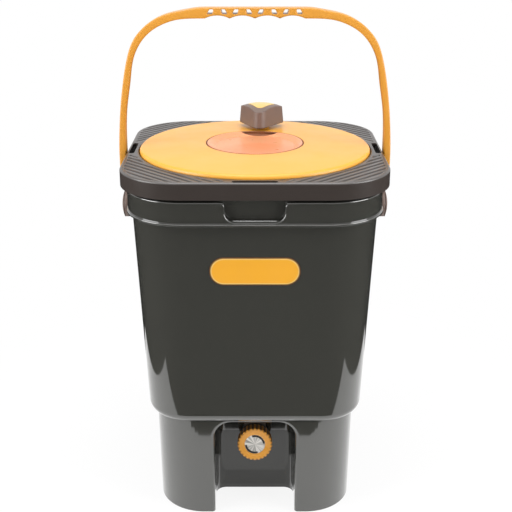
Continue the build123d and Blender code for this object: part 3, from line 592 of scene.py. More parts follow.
@dataclass(frozen=True)
class SpunDisc:
    """Bright metal disc with a painted sheen in streaks that run out from its middle.

    Attributes:
        streaks: How many streaks there are, as a noise scale on the way out from the middle.
        clear: Values of the pattern that are quite dark and quite bright.
        spread: Most roughness, as a share of the least.
    """

    name: str
    dark: Colour
    bright: Colour
    roughness: float
    streaks: float = 2.6
    clear: Point = (0.34, 0.62)
    spread: float = 1.2
    metal: float = 0.55

    def material(self) -> Material:
        """Builds the finish.

        Returns:
            The material.
        """
        sheet = NodeSheet(self.name)
        way = sheet.vector("NORMALIZE", sheet.turned(TAP_AXIS, TAP_LEAN), "Vector")
        streaks = sheet.fade(sheet.noise(self.streaks, 5.0, way), *self.clear)
        # Painted sheen: the streaks move the colour between dark and bright.
        sheet.join(sheet.shades(streaks, self.dark, self.bright), sheet.surface.inputs["Base Color"])
        rough = sheet.span(streaks, self.roughness, self.roughness * self.spread)
        sheet.join(rough, sheet.surface.inputs["Roughness"])
        sheet.give(Metallic=self.metal)
        return sheet.material


@dataclass(frozen=True)
class FlutedPlastic:
    """Bright plastic of the hand wheel, with painted shade in the flutes of its rim.

    Attributes:
        between: Linear colour of the painted shade in the flutes.
        radius: Radius of the wheel.
        rim: Where the painted shade begins and where it is full, as shares of the radius.
    """

    name: str
    colour: Colour
    between: Colour
    radius: float
    flutes: int
    rim: Point = (0.86, 0.97)
    cloud_scale: float = 30.0
    cloud_shade: float = 0.03
    roughness: float = 0.28
    spread: float = 0.1
    coat: float = 0.2

    def material(self) -> Material:
        """Builds the finish.

        Returns:
            The material.
        """
        sheet = NodeSheet(self.name)
        place = sheet.turned(TAP_AXIS, TAP_LEAN)
        begins, full = self.rim
        distance = sheet.vector("LENGTH", place, "Value")
        outside = sheet.fade(distance, self.radius * begins, self.radius * full)
        around = sheet.add("ShaderNodeTexGradient", gradient_type="RADIAL")
        sheet.join(place, around.inputs["Vector"])
        wave = around.outputs["Fac"]
        for operation, amount in (("MULTIPLY", math.tau * self.flutes), ("COSINE", 0.0),
                                  ("MULTIPLY", 0.5), ("ADD", 0.5)):
            wave = sheet.maths(operation, wave, amount)
        cloud = sheet.noise(self.cloud_scale, 2.0)
        shade = self.cloud_shade
        tone = sheet.shades(cloud, tinted(self.colour, 1 - shade), tinted(self.colour, 1 + shade))
        # Painted shade: the flutes round the rim are darkened to brown.
        tone = sheet.over(sheet.maths("MULTIPLY", wave, outside), tone, self.between)
        sheet.join(tone, sheet.surface.inputs["Base Color"])
        rough = sheet.span(cloud, self.roughness * (1 - self.spread), self.roughness * (1 + self.spread))
        sheet.join(rough, sheet.surface.inputs["Roughness"])
        sheet.give(Coat_Weight=self.coat)
        return sheet.material


@dataclass(frozen=True)
class SoftRubber:
    """Matt rubber with a faint dusty bloom."""

    name: str
    colour: Colour
    bloom_scale: float = 55.0
    bloom_tint: float = 1.5
    texture_scale: float = 1500.0
    texture_strength: float = 0.2
    texture_depth: float = 0.00003
    roughness: float = 0.72

    def material(self) -> Material:
        """Builds the finish.

        Returns:
            The material.
        """
        sheet = NodeSheet(self.name)
        bloom = sheet.noise(self.bloom_scale, 5.0)
        tone = sheet.shades(bloom, self.colour, tinted(self.colour, self.bloom_tint))
        sheet.join(tone, sheet.surface.inputs["Base Color"])
        sheet.relief(sheet.noise(self.texture_scale, 2.0), self.texture_strength, self.texture_depth)
        sheet.give(Roughness=self.roughness)
        return sheet.material


BADGE_BROWN = MouldedPlastic("Badge_Brown", linear(104, 62, 16), 0.45, grain_strength=0.0)
BADGE_PALE = MouldedPlastic("Badge_Pale", linear(224, 186, 108), 0.35, grain_strength=0.0)
BADGE_GOLD = MouldedPlastic("Badge_Gold", linear(226, 160, 32), 0.32, grain_strength=0.0, shade=0.02)
FINISHES = {
    Slot.BIN: MouldedPlastic("Bin_Charcoal", linear(57, 57, 53), 0.07, spread=0.02, specular=1.0,
                             coat=1.0, grain_strength=0.05, shade=0.04, recess=True),
    Slot.LID: MouldedPlastic("Lid_Warm_Grey", linear(56, 50, 47), 0.33, grain=1400.0, specular=1.0,
                             shade=0.04, matt_and_shade_below=0.4252),
    # The cover's middle carries painted shade for the gap round the dish.
    Slot.COVER: MouldedPlastic("Cover_Amber", linear(236, 168, 53), 0.34, coat=0.1, shade=0.015,
                               grain_strength=0.0, gap=0.0580, gap_shade_tone=linear(176, 108, 56),
                               softened=0.004),
    Slot.HANDLE: MouldedPlastic("Handle_Orange", linear(206, 142, 46), 0.34, shade=0.02,
                                grain_strength=0.0, softened=0.0032),
    # Dish colours: deep coral floor, paler wall as painted reflection, dark hollow as painted shadow.
    Slot.DISH: TintedDish("Dish_Coral", linear(234, 146, 98), linear(233, 159, 114), linear(126, 76, 50)),
    Slot.KNOB: MouldedPlastic("Knob_Taupe", linear(110, 91, 82), 0.44, grain=1400.0, specular=0.6,
                              softened=0.002),
    Slot.KNOB_CAP: MouldedPlastic("Knob_Yellow", linear(228, 190, 104), 0.3, coat=0.2, shade=0.02,
                                  grain_strength=0.04),
    Slot.SEAL: SoftRubber("Seal_Rubber", linear(38, 37, 36)),
    Slot.TAP_BODY: MouldedPlastic("Tap_Umber", linear(84, 72, 62), 0.34),
    # The wheel's rim carries painted shade in its flutes.
    Slot.TAP_WHEEL: FlutedPlastic("Tap_Orange", linear(232, 160, 56), linear(96, 58, 18),
                                  radius=0.0213, flutes=26),
    Slot.TAP_DISC: SpunDisc("Tap_Disc_Satin", linear(150, 148, 142), linear(250, 246, 240), 0.4),
    Slot.TAP_MARK: MouldedPlastic("Tap_Mark_Black", linear(30, 30, 30), 0.5),
    Slot.STRAINER: MouldedPlastic("Strainer_Black", linear(44, 44, 44), 0.45),
    Slot.HARDWARE: TurnedMetal("Hardware_Steel", linear(170, 170, 168), 0.3, lines=(40.0, 40.0, 900.0)),
}


class Paintbox:
    """Builds each finish once and hands it out."""

    def __init__(self) -> None:
        """Starts with no finish mixed."""
        self.mixed: dict[Slot, Material] = {}

    def get(self, slot: Slot) -> Material:
        """Finish of a slot.

        Args:
            slot: Which slot.

        Returns:
            Its material.
        """
        if slot not in self.mixed:
            self.mixed[slot] = FINISHES[slot].material()
        return self.mixed[slot]


PAINT = Paintbox()


def deselect() -> None:
    """Leaves nothing selected and no object in edit mode."""
    if bpy.context.mode != "OBJECT":
        bpy.ops.object.mode_set(mode="OBJECT")
    bpy.ops.object.select_all(action="DESELECT")


def take(*pieces: Piece) -> None:
    """Selects pieces, the last one active.

    Args:
        pieces: The objects to select.
    """
    deselect()
    for piece in pieces:
        piece.select_set(True)
        bpy.context.view_layer.objects.active = piece


def fresh(name: str) -> Piece:
    """Names the piece that was just added."""
    bpy.context.object.name = name
    return bpy.context.object


def joined(*pieces: Piece) -> Piece:
    """Joins pieces into the last one, without cutting them.

    Args:
        pieces: The objects to join.

    Returns:
        The last one, with all of them in it.
    """
    take(*pieces)
    bpy.ops.object.join()
    return bpy.context.object


@contextmanager
def editing(action: str | None = "SELECT") -> Iterator[None]:
    """Edit mode on the active piece.

    Args:
        action: SELECT or DESELECT for all of its mesh, or None to keep what is selected.
    """
    bpy.ops.object.mode_set(mode="EDIT")
    if action:
        bpy.ops.mesh.select_all(action=action)
    yield
    bpy.ops.object.mode_set(mode="OBJECT")


def start_picking(piece: Piece, kind: str) -> None:
    """Makes a piece ready for a selection in code.

    Args:
        piece: The piece, with nothing selected afterwards.
        kind: VERT, EDGE or FACE, what will be selected.
    """
    take(piece)
    with editing("DESELECT"):
        bpy.ops.mesh.select_mode(type=kind)


def round_corners(radius: float, segments: int) -> None:
    """Rounds the selected corners in edit mode."""
    bpy.ops.mesh.bevel(affect="VERTICES", offset=radius, segments=segments, profile=0.5)


def face_outwards() -> None:
    """Turns all faces outwards in edit mode."""
    bpy.ops.mesh.select_all(action="SELECT")
    bpy.ops.mesh.normals_make_consistent(inside=False)


def seat(piece: Piece, place: Matrix | None = None) -> Piece:
    """Moves a piece and applies its place, so that its object sits at the origin.

    Args:
        piece: The object.
        place: Extra placement, none if left out.

    Returns:
        The same object.
    """
    take(piece)
    if place is not None:
        piece.matrix_world = place @ piece.matrix_world
    bpy.ops.object.transform_apply(location=True, rotation=True, scale=True)
    return piece


def finish_modifier(piece: Piece, kind: str, **settings: object) -> None:
    """Adds a modifier and applies it.

    Args:
        piece: The object.
        kind: Type of modifier.
        settings: Its values.
    """
    take(piece)
    modifier = piece.modifiers.new(kind.title(), kind)
    for key, value in settings.items():
        setattr(modifier, key, value)
    bpy.ops.object.modifier_apply(modifier=modifier.name)


def ease(piece: Piece, width: float, segments: int = 2, degrees: float = 50.0) -> None:
    """Bevels the sharp edges of a piece.

    Args:
        piece: The object.
        width: Width of the bevel.
        segments: Number of its steps.
        degrees: Edges above this angle are bevelled.
    """
    finish_modifier(piece, "BEVEL", width=width, segments=segments, limit_method="ANGLE",
                    angle_limit=math.radians(degrees))


def combine(piece: Piece, tool: Piece, operation: str) -> Piece:
    """Cuts a piece by a tool, or joins them into one solid, and removes the tool.

    Args:
        piece: The object that stays.
        tool: The object that is used up.
        operation: DIFFERENCE, UNION or INTERSECT.

    Returns:
        The piece.
    """
    finish_modifier(piece, "BOOLEAN", operation=operation, object=tool, solver="MANIFOLD")
    bpy.data.objects.remove(tool)
    return piece


def smooth(piece: Piece, degrees: float = 30.0) -> Piece:
    """Smooth shading with the sharp edges kept and the large faces flat.

    Args:
        piece: The object.
        degrees: Edges above this angle stay sharp.

    Returns:
        The piece.
    """
    take(piece)
    bpy.ops.object.shade_smooth_by_angle(angle=math.radians(degrees))
    finish_modifier(piece, "WEIGHTED_NORMAL", keep_sharp=True)
    return piece


@dataclass(frozen=True)
class Ring:
    """One loop of a stacked form: a rounded rectangle, or a circle where the corner fills it."""

    z: float
    half_x: float
    half_y: float
    corner: float

    def circular(self) -> bool:
        """Whether the corners fill the whole ring."""
        return self.corner > min(self.half_x, self.half_y) - MM / 10

    def moved(self, out: float, z: float) -> "Ring":
        """The ring grown all round and set at another height.

        Args:
            out: Growth in metres.
            z: New height.

        Returns:
            The new ring.
        """
        return Ring(z, self.half_x + out, self.half_y + out, self.corner + out)

    def draw(self, points: int) -> Piece:
        """Adds the loop as its own object.

        Args:
            points: Number of its points, a multiple of four.

        Returns:
            The loop object.
        """
        deselect()
        if self.circular():
            bpy.ops.mesh.primitive_circle_add(vertices=points, radius=self.half_x, location=(0, 0, self.z))
            return bpy.context.object
        bpy.ops.mesh.primitive_plane_add(size=2, location=(0, 0, self.z))
        with editing():
            bpy.ops.transform.resize(value=(self.half_x, self.half_y, 1))
            round_corners(self.corner, points // 4 - 1)
            bpy.ops.mesh.select_all(action="SELECT")
            bpy.ops.mesh.delete(type="ONLY_FACE")
        return bpy.context.object


def disc(radius: float, z: float) -> Ring:
    """A round ring at a height."""
    return Ring(z, radius, radius, radius)


def lathe(*profile: Point) -> list[Ring]:
    """Round rings from radius and height pairs."""
    return [disc(radius, z) for radius, z in profile]


def quarter(start: Point, end: Point, upright: bool, steps: int = 4) -> list[Point]:
    """Points of a quarter round between two points of a profile.

    Args:
        start: Offset and height where it begins.
        end: Offset and height where it ends.
        upright: Whether it starts along the height.
        steps: Number of pieces.

    Returns:
        The points, both ends in.
    """
    points = []
    for step in range(steps + 1):
        turn = math.radians(90) * step / steps
        slow, fast = 1 - math.cos(turn), math.sin(turn)
        across, along = (slow, fast) if upright else (fast, slow)
        points.append((start[0] + (end[0] - start[0]) * across, start[1] + (end[1] - start[1]) * along))
    return points


def stack(name: str, rings: Sequence[Ring], points: int, closed: bool = False) -> Piece:
    """Skins a stack of rings into one solid, band by band.

    Args:
        name: Name of the piece.
        rings: The rings in order.
        points: Points on each ring.
        closed: Whether the last ring joins the first; otherwise both ends are capped.

    Returns:
        The new piece.
    """
    pairs = list(zip(rings, rings[1:]))
    if closed:
        pairs.append((rings[-1], rings[0]))
    bands = []
    for first, second in pairs:
        band = joined(first.draw(points), second.draw(points))
        with editing():
            bpy.ops.mesh.bridge_edge_loops()
        bands.append(band)
    piece = joined(*bands)
    piece.name = name
    piece.data.name = name
    with editing():
        bpy.ops.mesh.remove_doubles(threshold=WELD)
        if not closed:
            bpy.ops.mesh.fill_holes(sides=0)
        face_outwards()
    return seat(piece)


def slab(size: Place, middle: Place) -> Piece:
    """An upright box.

    Args:
        size: Its lengths along X, Y and Z.
        middle: Its middle.

    Returns:
        The new piece.
    """
    deselect()
    bpy.ops.mesh.primitive_cube_add(size=1, location=middle)
    bpy.context.object.scale = size
    return seat(bpy.context.object)


def cylinder(radius: float, start: float, end: float, z: float, side: int) -> Piece:
    """A cylinder along X on one side of the bin.

    Args:
        radius: Its radius.
        start: Distance from the middle where it begins.
        end: Distance where it ends.
        z: Height of its axis.
        side: 1 for the right, -1 for the left.

    Returns:
        The new piece.
    """
    deselect()
    bpy.ops.mesh.primitive_cylinder_add(vertices=SMALL_ROUND, radius=radius, depth=end - start,
                                        location=(side * (start + end) / 2, 0, z),
                                        rotation=(0, math.radians(90), 0))
    return seat(bpy.context.object)


def plug(name: str, radius: float, low: float, high: float) -> Piece:
    """An upright cylinder on the middle axis.

    Args:
        name: Name of the piece.
        radius: Its radius.
        low: Height of its foot.
        high: Height of its top.

    Returns:
        The new piece.
    """
    return stack(name, lathe((radius, low), (radius, high)), SMALL_ROUND)


def tube(name: str, outer: float, inner: float, low: float, high: float) -> Piece:
    """An upright ring on the middle axis.

    Args:
        name: Name of the piece.
        outer: Its outer radius.
        inner: Its inner radius.
        low: Height of its foot.
        high: Height of its top.

    Returns:
        The new piece.
    """
    soft = min((outer - inner) / 4, MM / 2)
    profile = lathe((inner, low), (outer, low), (outer, high - soft), (outer - soft, high), (inner, high))
    return stack(name, profile, SMALL_ROUND, closed=True)


def cad_copy(node: str, name: str) -> Piece:
    """A merged copy of a CAD node's mesh, ready for a smooth finish.

    Args:
        node: The CAD node.
        name: Name of the copy.

    Returns:
        The copy.
    """
    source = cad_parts[node]
    piece = bpy.data.objects.new(name, source.data.copy())
    piece.data.name = name
    bpy.context.scene.collection.objects.link(piece)
    take(piece)
    with editing():
        bpy.ops.mesh.remove_doubles(threshold=WELD)
    piece.data.materials.clear()
    return piece


def welded(name: str, seam_z: float, *nodes: str) -> Piece:
    """One copy of several CAD nodes that meet in a level plane, without the faces in it.

    Args:
        name: Name of the copy.
        seam_z: Height of the plane.
        nodes: The CAD nodes.

    Returns:
        The copy.
    """
    copies = [cad_copy(node, f"{name}_{number}") for number, node in enumerate(nodes)]
    for piece in copies:
        start_picking(piece, "FACE")
        for face in piece.data.polygons:
            face.select = abs(face.center.z - seam_z) < MM / 100 and abs(face.normal.z) > 0.99
        with editing(None):
            bpy.ops.mesh.delete(type="FACE")
            bpy.ops.mesh.select_mode(type="VERT")
    piece = joined(*copies)
    piece.name = name
    with editing():
        bpy.ops.mesh.remove_doubles(threshold=MM / 20)
    return piece


def dress(piece: Piece, slot: Slot, body: Body, *nodes: str) -> Piece:
    """Gives a piece its finish and its body, and hides the CAD nodes that it stands for.

    Args:
        piece: The object.
        slot: Its material slot.
        body: The body that it rides on.
        nodes: CAD nodes that it replaces.

    Returns:
        The piece.
    """
    piece.data.materials.clear()
    piece.data.materials.append(PAINT.get(slot))
    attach(piece, body.value)
    if nodes:
        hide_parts(*nodes)
    LOG.info("%s: %d faces on %s", piece.name, len(piece.data.polygons), body.value)
    return piece


def keep_node(node: str, slot: Slot) -> None:
    """Leaves a CAD node's shape and gives it the better finish.

    Args:
        node: The CAD node.
        slot: Its material slot.
    """
    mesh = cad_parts[node].data
    for index in range(len(mesh.materials)):
        mesh.materials[index] = PAINT.get(slot)
    LOG.info("%s: kept with %s", node, slot.value)


def copied(node: str, name: str, slot: Slot, body: Body, degrees: float = 30.0) -> Piece:
    """A CAD node shown as its smooth-shaded copy.

    Args:
        node: The CAD node.
        name: Name of the copy.
        slot: Its material slot.
        body: The body that it rides on.
        degrees: Edges above this angle stay sharp.

    Returns:
        The dressed copy.
    """
    return dress(smooth(cad_copy(node, name), degrees), slot, body, node)


@dataclass(frozen=True)
class Taper:
    """The bin's tapered outside, from its step to its rim."""

    step_z: float = 0.128
    rim_z: float = 0.4165
    foot_half: float = 0.1271
    foot_corner: float = 0.04995
    rim_half: float = 0.1394
    rim_corner: float = 0.06203

    def ring(self, z: float, grow: float = 0.0) -> Ring:
        """Section at a height.

        Args:
            z: The height.
            grow: Growth all round.

        Returns:
            The section's ring.
        """
        share = (z - self.step_z) / (self.rim_z - self.step_z)
        half = self.foot_half + share * (self.rim_half - self.foot_half) + grow
        corner = self.foot_corner + share * (self.rim_corner - self.foot_corner) + grow
        return Ring(z, half, half, corner)

    def foot(self, radius: float, floor: float, grow: float, steps: int = 7) -> list[Ring]:
        """Rings of the rounded foot, from its flat up the side.

        Args:
            radius: The rounding.
            floor: Height of the flat.
            grow: Growth of the section that it rounds.
            steps: Number of pieces.

        Returns:
            The rings.
        """
        rings = []
        for step in range(steps + 1):
            turn = math.radians(90) * step / steps
            rise, inset = radius * (1 - math.cos(turn)), radius * (1 - math.sin(turn))
            rings.append(self.ring(floor + rise, grow - inset))
        return rings

    def lean(self) -> float:
        """Angle of the wall from upright, in radians."""
        return math.atan2(self.rim_half - self.foot_half, self.rim_z - self.step_z)


@dataclass
class BinShell:
    """The tapered bin with its rim, open floor, handle pivots and bare badge plate."""

    taper: Taper = field(default_factory=Taper)
    wall: float = 0.003
    foot_round: float = 0.012
    rim_round: float = 0.0009
    rim_step: float = 0.3
    opening_half: float = 0.112
    opening_corner: float = 0.0483
    heights: tuple[float, ...] = (0.2, 0.27, 0.33, 0.38)
    boss_z: float = 0.36
    boss_radius: float = 0.012
    boss_span: Point = (0.1355, 0.1516)
    boss_round: float = 0.0006
    spigot_radius: float = 0.007
    spigot_end: float = 0.1562
    gusset_thick: float = 0.003
    gusset_out: float = 0.1424
    gusset_low: float = 0.344
    gusset_top: float = 0.3794
    badge_half_x: float = 0.0485
    badge_half_z: float = 0.0152
    badge_corner: float = 0.97
    badge_z: float = 0.3245
    badge_sunk: float = 0.00005
    badge_round: float = 0.0001
    badge_border: float = 0.0013
    badge_proud: Place = (0.0005, 0.0007, 0.0009)

    def shell(self) -> Piece:
        """Models the wall, rounded foot and floor as one skin.

        Returns:
            The dressed piece.
        """
        taper, top, soft = self.taper, self.taper.rim_z, self.rim_round
        part = soft * self.rim_step
        outer = taper.foot(self.foot_round, taper.step_z, 0.0)
        outer += [taper.ring(z) for z in self.heights]
        rim = [taper.ring(top - soft), taper.ring(top - part, -part), taper.ring(top, -soft),
               taper.ring(top, soft - self.wall), taper.ring(top - part, part - self.wall),
               taper.ring(top - soft, -self.wall)]
        inner = [taper.ring(z, -self.wall) for z in reversed(self.heights)]
        floor_z = taper.step_z + self.wall
        inner += reversed(taper.foot(self.foot_round - self.wall, floor_z, -self.wall))
        opening = [Ring(floor_z, self.opening_half, self.opening_half, self.opening_corner),
                   Ring(taper.step_z, self.opening_half, self.opening_half, self.opening_corner)]
        piece = stack("Bin_Wall", outer + rim + inner + opening, 128, closed=True)
        return dress(smooth(piece, degrees=40.0), Slot.BIN, Body.BIN, "bin_shell")

    def pivot(self, side: int, name: str) -> Piece:
        """Models one handle pivot: boss, spigot and gusset.

        Args:
            side: 1 for the right, -1 for the left.
            name: Name of the piece.

        Returns:
            The dressed piece.
        """
        start, face = self.boss_span
        boss = cylinder(self.boss_radius, start, face, self.boss_z, side)
        spigot = cylinder(self.spigot_radius, start, self.spigot_end, self.boss_z, side)
        size = (self.gusset_out - start, self.gusset_thick, self.gusset_top - self.gusset_low)
        middle = (side * (start + self.gusset_out) / 2, 0, (self.gusset_low + self.gusset_top) / 2)
        combine(boss, spigot, "UNION")
        combine(boss, slab(size, middle), "UNION")
        boss.name = name
        ease(boss, self.boss_round)
        return dress(smooth(boss, degrees=35.0), Slot.BIN, Body.BIN)

    def plate(self, name: str, grown: float, proud: float, finish: MouldedPlastic) -> Piece:
        """Models one layer of the badge, a pill shape that leans with the bin's front.

        Args:
            name: Its name.
            grown: How much it is larger than the badge all round.
            proud: How far it stands off the bin.
            finish: Its finish.

        Returns:
            The dressed piece.
        """
        deselect()
        half_z = self.badge_half_z + grown
        bpy.ops.mesh.primitive_plane_add(size=2)
        plate = fresh(name)
        with editing():
            bpy.ops.transform.resize(value=(self.badge_half_x + grown, half_z, 1))
            round_corners(half_z * self.badge_corner, 16)
            bpy.ops.mesh.select_all(action="SELECT")
            bpy.ops.mesh.extrude_region_move(TRANSFORM_OT_translate={"value": (0, 0, proud)})
            face_outwards()
        ease(plate, self.badge_round)
        face = self.taper.ring(self.badge_z).half_y
        lean = math.radians(90) + self.taper.lean()
        place = Matrix.Translation((0, self.badge_sunk - face, self.badge_z))
        seat(plate, place @ Matrix.Rotation(lean, 4, "X"))
        dress(smooth(plate, degrees=35.0), Slot.KNOB_CAP, Body.BIN)
        plate.data.materials[0] = finish.material()
        return plate

    def badge(self) -> None:
        """Models the bare badge, a golden field with a pale border and a brown surround."""
        low, middle, high = self.badge_proud
        self.plate("Badge_Surround", self.badge_border, low, BADGE_BROWN)
        self.plate("Badge_Border", 0.0, middle, BADGE_PALE)
        self.plate("Badge_Field", -self.badge_border, high, BADGE_GOLD)

    def build(self) -> None:
        """Builds the whole sub-assembly."""
        self.shell()
        self.pivot(-1, "Pivot_Boss_Left")
        self.pivot(1, "Pivot_Boss_Right")
        self.badge()
        copied("pivot_pin_left", "Pivot_Pin_Left", Slot.KNOB, Body.BIN)
        copied("pivot_pin_right", "Pivot_Pin_Right", Slot.KNOB, Body.BIN)


@dataclass
class BaseSkirt:
    """The base with its arched recess and sump."""

    def build(self) -> None:
        """Builds the whole sub-assembly."""
        copied("base_skirt", "Base_Skirt", Slot.BIN, Body.BIN, 28.0)


@dataclass
class Collar:
    """The flange and upturned wall below the lid, with the finger notch.

    Attributes:
        bead_start: Angle where the round edge bead begins, in degrees.
        bead_step: Angle between its points.
    """

    taper: Taper = field(default_factory=Taper)
    lip_z: float = 0.3794
    lip_top: float = 0.382
    lip_side: float = 0.1435
    lip_front: float = 0.1475
    lip_corner: float = 0.06613
    lip_round: float = 0.0009
    wall_side: float = 0.1424
    wall_front: float = 0.1444
    wall_corner: float = 0.06503
    wall_thick: float = 0.0024
    wall_top: float = 0.4058
    notch_half: float = 0.0338
    notch_foot: float = 0.3824
    notch_corner: float = 0.012
    notch_shoulder: float = 0.004
    notch_deep: float = 0.012
    notch_over: float = 0.02
    bead: float = 0.0015
    bead_start: float = -37.0
    bead_step: float = 25.4
    bead_steps: int = 10

    def rings(self) -> list[Ring]:
        """Closed profile of the collar, as rings.

        Returns:
            The rings.
        """
        lip = Ring(self.lip_z, self.lip_side, self.lip_front, self.lip_corner)
        wall = Ring(self.lip_top, self.wall_side, self.wall_front, self.wall_corner)
        soft, thick, top = self.lip_round, self.wall_thick, self.wall_top
        rings = [self.taper.ring(self.lip_z)]
        rings += [lip.moved(out - soft, self.lip_z + up)
                  for out, up in quarter((0.0, 0.0), (soft, soft), upright=False)]
        rings += [lip.moved(-out, self.lip_top - soft + up)
                  for out, up in quarter((0.0, 0.0), (soft, soft), upright=True)]
        rings.append(wall)
        middle, centre = -thick / 2, top - self.bead
        for step in range(self.bead_steps + 1):
            turn = math.radians(self.bead_start + self.bead_step * step)
            across, up = self.bead * math.cos(turn), self.bead * math.sin(turn)
            rings.append(wall.moved(middle + across, centre + up))
        rings += [wall.moved(-thick, self.lip_top), self.taper.ring(self.lip_top)]
        return rings

    def notch(self) -> Piece:
        """Solid that cuts the finger notch, rounded at all four edges of its foot.

        Returns:
            The tool.
        """
        high = self.wall_top + self.notch_over - self.notch_foot
        tool = slab((2 * self.notch_half, self.notch_deep, high),
                    (0, MM - self.wall_front, self.notch_foot + high / 2))
        start_picking(tool, "FACE")
        for face in tool.data.polygons:
            face.select = face.center.z < self.notch_foot + MM
        with editing(None):
            bpy.ops.mesh.bevel(affect="EDGES", offset=self.notch_corner, segments=10, profile=0.5)
            bpy.ops.mesh.select_mode(type="VERT")
        return tool

    def notch_bead(self) -> Piece:
        """Round bead along the notch's edge.

        Returns:
            The bead.
        """
        half, foot, high = self.notch_half, self.notch_foot, self.wall_top - self.bead
        outer = half + self.notch_corner
        route = [(-outer, high), (-half, high), (-half, foot), (half, foot), (half, high), (outer, high)]
        deselect()
        start = (-outer, self.wall_thick / 2 - self.wall_front, high)
        bpy.ops.mesh.primitive_plane_add(size=MM, location=start)
        bead = fresh("Notch_Bead")
        with editing():
            bpy.ops.mesh.merge(type="CENTER")
            for last, corner in zip(route, route[1:]):
                step = (corner[0] - last[0], 0, corner[1] - last[1])
                bpy.ops.mesh.extrude_region_move(TRANSFORM_OT_translate={"value": step})
        seat(bead)
        for level, radius in ((foot, self.notch_corner), (high, self.notch_shoulder)):
            start_picking(bead, "VERT")
            for vertex in bead.data.vertices:
                near = abs(vertex.co.z - level) < MM / 10 and abs(abs(vertex.co.x) - half) < MM / 10
                vertex.select = near
            with editing(None):
                round_corners(radius, 8)
        bpy.ops.object.convert(target="CURVE")
        bead.data.bevel_depth = self.bead
        bead.data.bevel_resolution = 5
        bead.data.use_fill_caps = True
        bpy.ops.object.convert(target="MESH")
        return bpy.context.object

    def build(self) -> None:
        """Builds the whole sub-assembly."""
        band = stack("Collar_Band", self.rings(), 128, closed=True)
        combine(band, self.notch(), "DIFFERENCE")
        collar = joined(self.notch_bead(), band)
        dress(smooth(collar, degrees=35.0), Slot.BIN, Body.BIN, "collar_band")


@dataclass
class Strainer:
    """The perforated plate inside the bin."""

    def build(self) -> None:
        """Builds the whole sub-assembly."""
        keep_node("strainer", Slot.STRAINER)


@dataclass
class Handle:
    """The bow handle with its pierced grip and its two shoes."""

    arm_top: float = 0.478

    def build(self) -> None:
        """Builds the whole sub-assembly."""
        nodes = ("handle", "handle_arm_left", "handle_arm_right")
        bow = smooth(welded("Handle_Bow", self.arm_top, *nodes))
        dress(bow, Slot.HANDLE, Body.HANDLE, *nodes)
        copied("handle_shoe_left", "Handle_Shoe_Left", Slot.KNOB, Body.HANDLE)
        copied("handle_shoe_right", "Handle_Shoe_Right", Slot.KNOB, Body.HANDLE)


@dataclass
class LidFrame:
    """The square lid frame with the round seat."""

    def build(self) -> None:
        """Builds the whole sub-assembly."""
        copied("lid_frame", "Lid_Frame", Slot.LID, Body.LID)
        copied("seat_ring", "Lid_Ring", Slot.LID, Body.LID)
        keep_node("rim_seal", Slot.SEAL)
        keep_node("cover_seal", Slot.SEAL)


